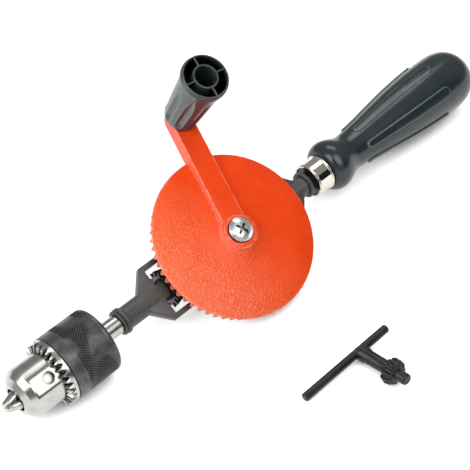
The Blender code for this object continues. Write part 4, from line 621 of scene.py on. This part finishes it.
def sleeve_points():
    """Points of the sleeve: its wall's outline carried round Z, and over the knurled part a radius of R
    - depth (1 - w), where w is the lower of the two waves. Also how deep each point sits between the
    diamonds, from 0 to 1, which becomes painted shade."""
    turn = np.linspace(0, math.pi / 2, 7)
    back = np.stack([SLEEVE_RADIUS - SLEEVE_ROUNDING * (1 - np.sin(turn)),
                     SLEEVE_REAR + SLEEVE_ROUNDING * (1 - np.cos(turn))], axis=-1)
    knurl = np.arange(KNURL_REAR, KNURL_FRONT, DIAMOND_TALL / STEPS_PER_DIAMOND)
    side = np.stack([np.full_like(knurl, SLEEVE_RADIUS), knurl], axis=-1)
    front = eased([(SLEEVE_RADIUS, KNURL_FRONT + 0.2), (SLEEVE_RADIUS, SLEEVE_FRONT),
                   (SLEEVE_INNER, SLEEVE_FRONT), (SLEEVE_INNER, SLEEVE_REAR + SLEEVE_LIP),
                   (SLEEVE_BORE, SLEEVE_REAR + SLEEVE_LIP)], SLEEVE_EDGE)
    profile = np.vstack([[(SLEEVE_BORE, SLEEVE_REAR)], back, side, front,
                         [(SLEEVE_BORE, SLEEVE_REAR)]])
    columns = DIAMONDS_ROUND * STEPS_PER_DIAMOND
    angle = np.arange(columns) * math.tau / columns
    height = profile[:, 1, None]
    around = DIAMONDS_ROUND * angle / math.tau
    along = (height - KNURL_REAR) / DIAMOND_TALL
    wave = np.minimum(triangle_wave(around + along), triangle_wave(around - along))
    worn = np.clip(2.2 * slow_waves(angle, height, 5) - 0.35, 0.08, 1)
    fade = np.clip(np.minimum(height - KNURL_REAR, KNURL_FRONT - height) / 0.5, 0, 1)
    rolled = (profile[:, 0, None] >= SLEEVE_RADIUS - 1e-6) * fade
    low = rolled * worn * (1 - np.minimum(1, 1.3 * wave))
    radius = profile[:, 0, None] - KNURL_DEPTH * low
    points = np.stack([radius * np.cos(angle), radius * np.sin(angle), height + 0 * angle], axis=-1)
    return points, low


points, low = sleeve_points()
# The grooves' depth becomes painted shade in the finish.
sleeve = grid_mesh("sleeve", points * MM, chuck_line, 70, groove=1.4 * low)
new_piece("knurled_sleeve", sleeve, "sleeve_body", "black_oxide_steel", "chuck_sleeve")
print("sleeve faces:", len(sleeve.polygons))

# %% [markdown]
# The handle is a moulding: a round bulge behind the ferrule, a waist for finger and
# thumb, a long swell for the palm and a rounded end. Six raised pads run along the swell.
# Each pad is a strip with round ends. How far a point lies inside the strip, in
# millimetres, goes through a smooth step to give how far it stands out.

# %% Padded handle
HANDLE_FRONT, BULGE_PLACE, WAIST_PLACE, GRIP_PLACE, HANDLE_END = 73.1, 79.5, 92.5, 165.0, 188.1
FRONT_RADIUS, BULGE_RADIUS, WAIST_RADIUS, GRIP_RADIUS = 9.2, 13.9, 10.4, 16.9
SPIGOT_RADIUS, SPIGOT_FRONT, SOCKET_RADIUS, SOCKET_END = 8.1, 63.0, 4.9, 128.4
SWELL_POWER, END_POWER = 0.78, 3.2
PAD_START, PAD_END, PAD_HEIGHT, PAD_EASE = 99.0, 160.5, 0.9, 0.55
PAD_COUNT, PAD_HALF_ANGLE, HANDLE_TURN = 6, math.radians(12), math.radians(23)
HANDLE_COLUMNS = 420


def smooth_step(value):
    """3 v^2 - 2 v^3 with v held between 0 and 1."""
    value = np.clip(value, 0, 1)
    return value * value * (3 - 2 * value)


def handle_radius(place):
    """Radius at a place: a quarter round up to the bulge, half a cosine down to the
    waist, half a cosine of share^0.78 up to the swell, then R sqrt(1 - share^3.2)."""
    def blend(low, high, share):
        """low + (high - low) (1 - cos(pi share)) / 2."""
        return low + (high - low) * (1 - np.cos(math.pi * share)) / 2

    share = np.clip((BULGE_PLACE - place) / (BULGE_PLACE - HANDLE_FRONT), 0, 1)
    bulge = BULGE_RADIUS - (BULGE_RADIUS - FRONT_RADIUS) * (1 - np.sqrt(1 - share ** 2))
    neck = blend(BULGE_RADIUS, WAIST_RADIUS, (place - BULGE_PLACE) / (WAIST_PLACE - BULGE_PLACE))
    share = np.clip((place - WAIST_PLACE) / (GRIP_PLACE - WAIST_PLACE), 0, 1)
    swell = blend(WAIST_RADIUS, GRIP_RADIUS, share ** SWELL_POWER)
    share = np.clip((place - GRIP_PLACE) / (HANDLE_END - GRIP_PLACE), 0, 1)
    end = GRIP_RADIUS * np.sqrt(1 - share ** END_POWER)
    return np.select([place < BULGE_PLACE, place < WAIST_PLACE, place < GRIP_PLACE],
                     [bulge, neck, swell], end)


def handle_points():
    """Points of the handle: its outline carried round Z, the pads added to the radius."""
    quarter = np.linspace(0, math.pi / 2, 15)
    places = np.concatenate([
        BULGE_PLACE - (BULGE_PLACE - HANDLE_FRONT) * np.cos(quarter),
        np.linspace(BULGE_PLACE, WAIST_PLACE, 16)[1:],
        np.linspace(WAIST_PLACE, PAD_START - 0.4, 7)[1:],
        np.arange(PAD_START, PAD_START + 5, 0.25),
        np.linspace(PAD_START + 5, PAD_END - 6, 34),
        np.arange(PAD_END - 5.75, PAD_END + 0.3, 0.25),
        np.linspace(PAD_END + 0.8, GRIP_PLACE, 5),
        GRIP_PLACE + (HANDLE_END - GRIP_PLACE) * np.sin(quarter)[1:-1],
    ])
    outline = np.stack([handle_radius(places), places], axis=-1)
    front = [(0, SOCKET_END), (SOCKET_RADIUS, SOCKET_END), (SOCKET_RADIUS, SPIGOT_FRONT),
             (SPIGOT_RADIUS, SPIGOT_FRONT), (SPIGOT_RADIUS, HANDLE_FRONT)]
    profile = np.vstack([front, outline, [(0, HANDLE_END)]])
    angle = np.arange(HANDLE_COLUMNS) * math.tau / HANDLE_COLUMNS
    radius, height = profile[:, 0, None], profile[:, 1, None]
    middle = math.tau / PAD_COUNT
    aside = np.mod(angle + middle / 2, middle) - middle / 2
    half = handle_radius(np.clip(height, PAD_START + 2.2, PAD_END - 3.4)) * PAD_HALF_ANGLE
    nearest = np.clip(height, PAD_START + half, PAD_END - half)
    inside = half - np.hypot(radius * aside, height - nearest)
    outer = np.arange(len(profile))[:, None] >= len(front)
    radius = radius + outer * PAD_HEIGHT * smooth_step(inside / PAD_EASE)
    points = np.stack([radius * np.cos(angle), radius * np.sin(angle), height + 0 * angle], axis=-1)
    # Painted highlight along each pad's outline.
    worn = outer * np.exp(-((inside - PAD_EASE) / 0.28) ** 2)
    return points, 0.55 * worn


handle_place = grip_line @ Matrix.Rotation(HANDLE_TURN, 4, "Z")
points, worn = handle_points()
handle = grid_mesh("handle", points * MM, handle_place, 50, worn=worn)
new_piece("padded_handle", handle, "frame_body", "handle_plastic", "handle")
print("handle faces:", len(handle.polygons))

# %% [markdown]
# The crank's knob is a moulding too, open at its outer end. Its wall swells from foot to
# shoulder and carries eight sunken flutes that end in a point. Inside, a tube stands on
# four thin ribs. One outline, carried round once, gives wall, floor and tube together.
# The ribs are thin plates between them. A painted-in attribute says how deep inside a
# point lies, because so little light gets down there that the inside looks black.

# %% Fluted knob
KNOB_FOOT, KNOB_LENGTH, KNOB_FLOOR = 0.3, 42.0, 13.0
FOOT_RADIUS, SHOULDER_RADIUS, LIP_RADIUS, MOUTH_RADIUS = 8.5, 11.2, 11.9, 10.7
TUBE_RADIUS, TUBE_BORE, PIN_HOLE, WASHER_ROOM, RIB = 6.4, 5.4, 3.3, 6.05, 0.8
FLUTES, FLUTE_DEPTH, FLUTE_HALF_WIDTH, FLUTE_END, FLUTE_POINT = 8, 1.3, 2.3, 34.5, 12.0
HOLLOW_SHADE_FADE, POCKET_WALL = 0.8, 2.2
RIB_TURN = math.radians(50)
KNOB_COLUMNS = 320
CRANK_AZIMUTH, ARM_SLOPE = math.radians(76.6), math.radians(3.5)
ARM_HEIGHT, CRANK_RADIUS = 24.2, 65.0
arm_line = (drill @ Matrix.Rotation(CRANK_AZIMUTH, 4, "Z") @ Matrix.Translation((0, 0, ARM_HEIGHT * MM))
            @ Matrix.Rotation(ARM_SLOPE, 4, "Y"))
knob_line = arm_line @ Matrix.Translation((CRANK_RADIUS * MM, 0, 0))


def knob_radius(height):
    """foot + (shoulder - foot) (h / length)^0.8."""
    share = np.clip(height / KNOB_LENGTH, 0, 1)
    return FOOT_RADIUS + (SHOULDER_RADIUS - FOOT_RADIUS) * share ** 0.8


def knob_points():
    """Points of wall, floor and tube: one closed outline round Z. In the flutes the
    radius loses depth (1 - u^2)^1.5, u being the way across, and they narrow to a point."""
    end = KNOB_FOOT + KNOB_LENGTH
    side = np.linspace(2.2, end - 5.2, 60)
    side = np.stack([knob_radius(side), side], axis=-1)
    lip = eased([side[-1], (SHOULDER_RADIUS - 0.1, end - 4.5), (SHOULDER_RADIUS - 0.25, end - 4.1),
                 (LIP_RADIUS, end - 3.5), (LIP_RADIUS, end - 1.7), (LIP_RADIUS - 0.55, end - 1.4),
                 (LIP_RADIUS - 0.5, end), (MOUTH_RADIUS, end), (MOUTH_RADIUS - 0.1, end - 4.5),
                 (knob_radius(end - 7) - POCKET_WALL, end - 7),
                 (knob_radius(KNOB_FLOOR) - POCKET_WALL, KNOB_FLOOR),
                 (TUBE_RADIUS, KNOB_FLOOR), (TUBE_RADIUS, end), (TUBE_BORE, end),
                 (TUBE_BORE, KNOB_FLOOR), (PIN_HOLE, KNOB_FLOOR), (PIN_HOLE, 1.4),
                 (WASHER_ROOM, 1.4), (WASHER_ROOM, KNOB_FOOT), (FOOT_RADIUS - 0.7, KNOB_FOOT),
                 (FOOT_RADIUS, 1.0), side[0]], 0.3)
    profile = np.vstack([side, lip[1:]])
    angle = np.arange(KNOB_COLUMNS) * math.tau / KNOB_COLUMNS
    radius, height = profile[:, 0, None], profile[:, 1, None]
    outer = np.arange(len(profile))[:, None] < len(side)
    middle = math.tau / FLUTES
    aside = radius * (np.mod(angle + middle / 2, middle) - middle / 2)
    narrow = smooth_step((FLUTE_END - height) / FLUTE_POINT) ** 0.5
    across = np.abs(aside) / np.maximum(FLUTE_HALF_WIDTH * narrow, 1e-3)
    low = smooth_step((height - 1.5) / 5)
    radius = radius - outer * FLUTE_DEPTH * narrow * low * (1 - np.minimum(across, 1) ** 2) ** 1.5
    points = np.stack([radius * np.cos(angle), radius * np.sin(angle), height + 0 * angle], axis=-1)
    inner = (profile[:, 0] < MOUTH_RADIUS + 0.02) & (profile[:, 1] > KNOB_FLOOR - 0.5) & ~outer[:, 0]
    # Painted shade inside the mouth, darker as it goes in.
    hollow = np.where(inner, (end - profile[:, 1]) / HOLLOW_SHADE_FADE, 0)[:, None] + 0 * angle
    # Painted highlight along the flutes' edges.
    worn = outer * 0.5 * np.exp(-((across - 0.95) / 0.15) ** 2) * low * (narrow > 0.2)
    return points, hollow, worn


points, hollow, worn = knob_points()
knob = grid_mesh("knob", points * MM, knob_line, 40, hollow=hollow, worn=worn)
new_piece("fluted_knob", knob, "knob_body", "knob_plastic", "crank_knob")


def rib_points():
    """A thin plate from tube to wall: a rectangle whose half width shrinks to 0 at floor
    and top, which closes it there. Also how deep inside each point lies."""
    top, foot = KNOB_FOOT + KNOB_LENGTH - 0.15, KNOB_FLOOR - 0.1
    level = np.array([foot, foot, 20, 28, top - 7, top - 4.5, top - 1.5, top - 0.15, top, top])[:, None]
    share = np.array([0, 1, 1, 1, 1, 1, 1, 1, 0.6, 0])[:, None]
    wall = np.where(level > top - 5, MOUTH_RADIUS + 0.05, knob_radius(level) - POCKET_WALL + 0.4)
    near, far = TUBE_RADIUS - 0.2, wall
    reach = np.where(share > 0, 1, 0)
    x = (near + far) / 2 + (far - near) / 2 * reach * np.array([-1, 1, 1, -1])
    y = RIB / 2 * share * np.array([-1, -1, 1, 1])
    return np.stack([x, y, level + 0 * x], axis=-1), (top - level) / HOLLOW_SHADE_FADE + 0 * x


points, hollow = rib_points()
for quarter in range(4):
    place = knob_line @ Matrix.Rotation(RIB_TURN + (quarter + 0.5) * math.pi / 2, 4, "Z")
    rib = grid_mesh(f"knob_rib_{quarter + 1}", points * MM, place, 30, hollow=hollow)
    new_piece(f"knob_rib_{quarter + 1}", rib, "knob_body", "knob_plastic")
print("knob faces:", len(knob.polygons))

# %% [markdown]
# The ferrule is a plated tube with a rolled bead at each end. It mirrors its
# surroundings, so its outline is eased finely and it has many sides.

# %% Ferrule
FERRULE_FRONT, FERRULE_REAR, FERRULE_RADIUS, FERRULE_INNER = 62.2, 72.8, 9.2, 8.4
BEAD_RISE, BEAD_WIDTH = 0.75, 0.75


def ferrule_points():
    """The tube's wall, with R + rise cos^2 over each bead's width, carried round Z."""
    place = np.linspace(FERRULE_FRONT, FERRULE_REAR, 90)
    rise = np.zeros_like(place)
    for middle in (FERRULE_FRONT + BEAD_WIDTH, FERRULE_REAR - BEAD_WIDTH):
        away = np.clip(np.abs(place - middle) / BEAD_WIDTH, 0, 1)
        rise = np.maximum(rise, BEAD_RISE * np.cos(away * math.pi / 2) ** 2)
    outer = np.stack([FERRULE_RADIUS + rise, place], axis=-1)
    profile = np.vstack([[(FERRULE_INNER, FERRULE_FRONT)], outer,
                         [(FERRULE_INNER, FERRULE_REAR), (FERRULE_INNER, FERRULE_FRONT)]])
    return turned(profile, 128)


ferrule = grid_mesh("ferrule", ferrule_points() * MM, grip_line, 60)
new_piece("beaded_ferrule", ferrule, "frame_body", "nickel_plate", "ferrule")
print("ferrule faces:", len(ferrule.polygons))

# %% [markdown]
# Most other pieces already have the right shape and only need smooth light and eased
# edges, so each gets a merged copy of its own solid with a narrow bevel. The chuck's
# body and ring are turned with sharp corners, so light breaks there at a smaller angle.

# %% Pieces kept in shape
EASED = {
    "frame": 0.0004, "wheel_screw": 0.00015, "spindle_washer": 0.0002, "spindle": 0.0001,
    "chuck_body": 0.00012, "chuck_gear_ring": 0.00005, "jaw_1": 0.00025, "jaw_2": 0.00025,
    "jaw_3": 0.00025, "key_body": 0.0002, "key_bar": 0.0002, "drive_pinion": 0.0001,
    "idler_pinion": 0.0001, "drive_wheel": 0.0004,
}
REPLACED = ("chuck_sleeve", "handle", "crank_knob", "ferrule")
CRISP, CRISP_ANGLE, SOFT_ANGLE = ("chuck_body", "chuck_gear_ring"), 20, 32
for node, width in EASED.items():
    merged_copy(node, CRISP_ANGLE if node in CRISP else SOFT_ANGLE, width)
for node, slot in records.items():
    if node not in EASED and node not in REPLACED:
        for place in frame["nodes"][node].material_slots:
            place.material = finishes[slot]
print("merged copies:", len(EASED))
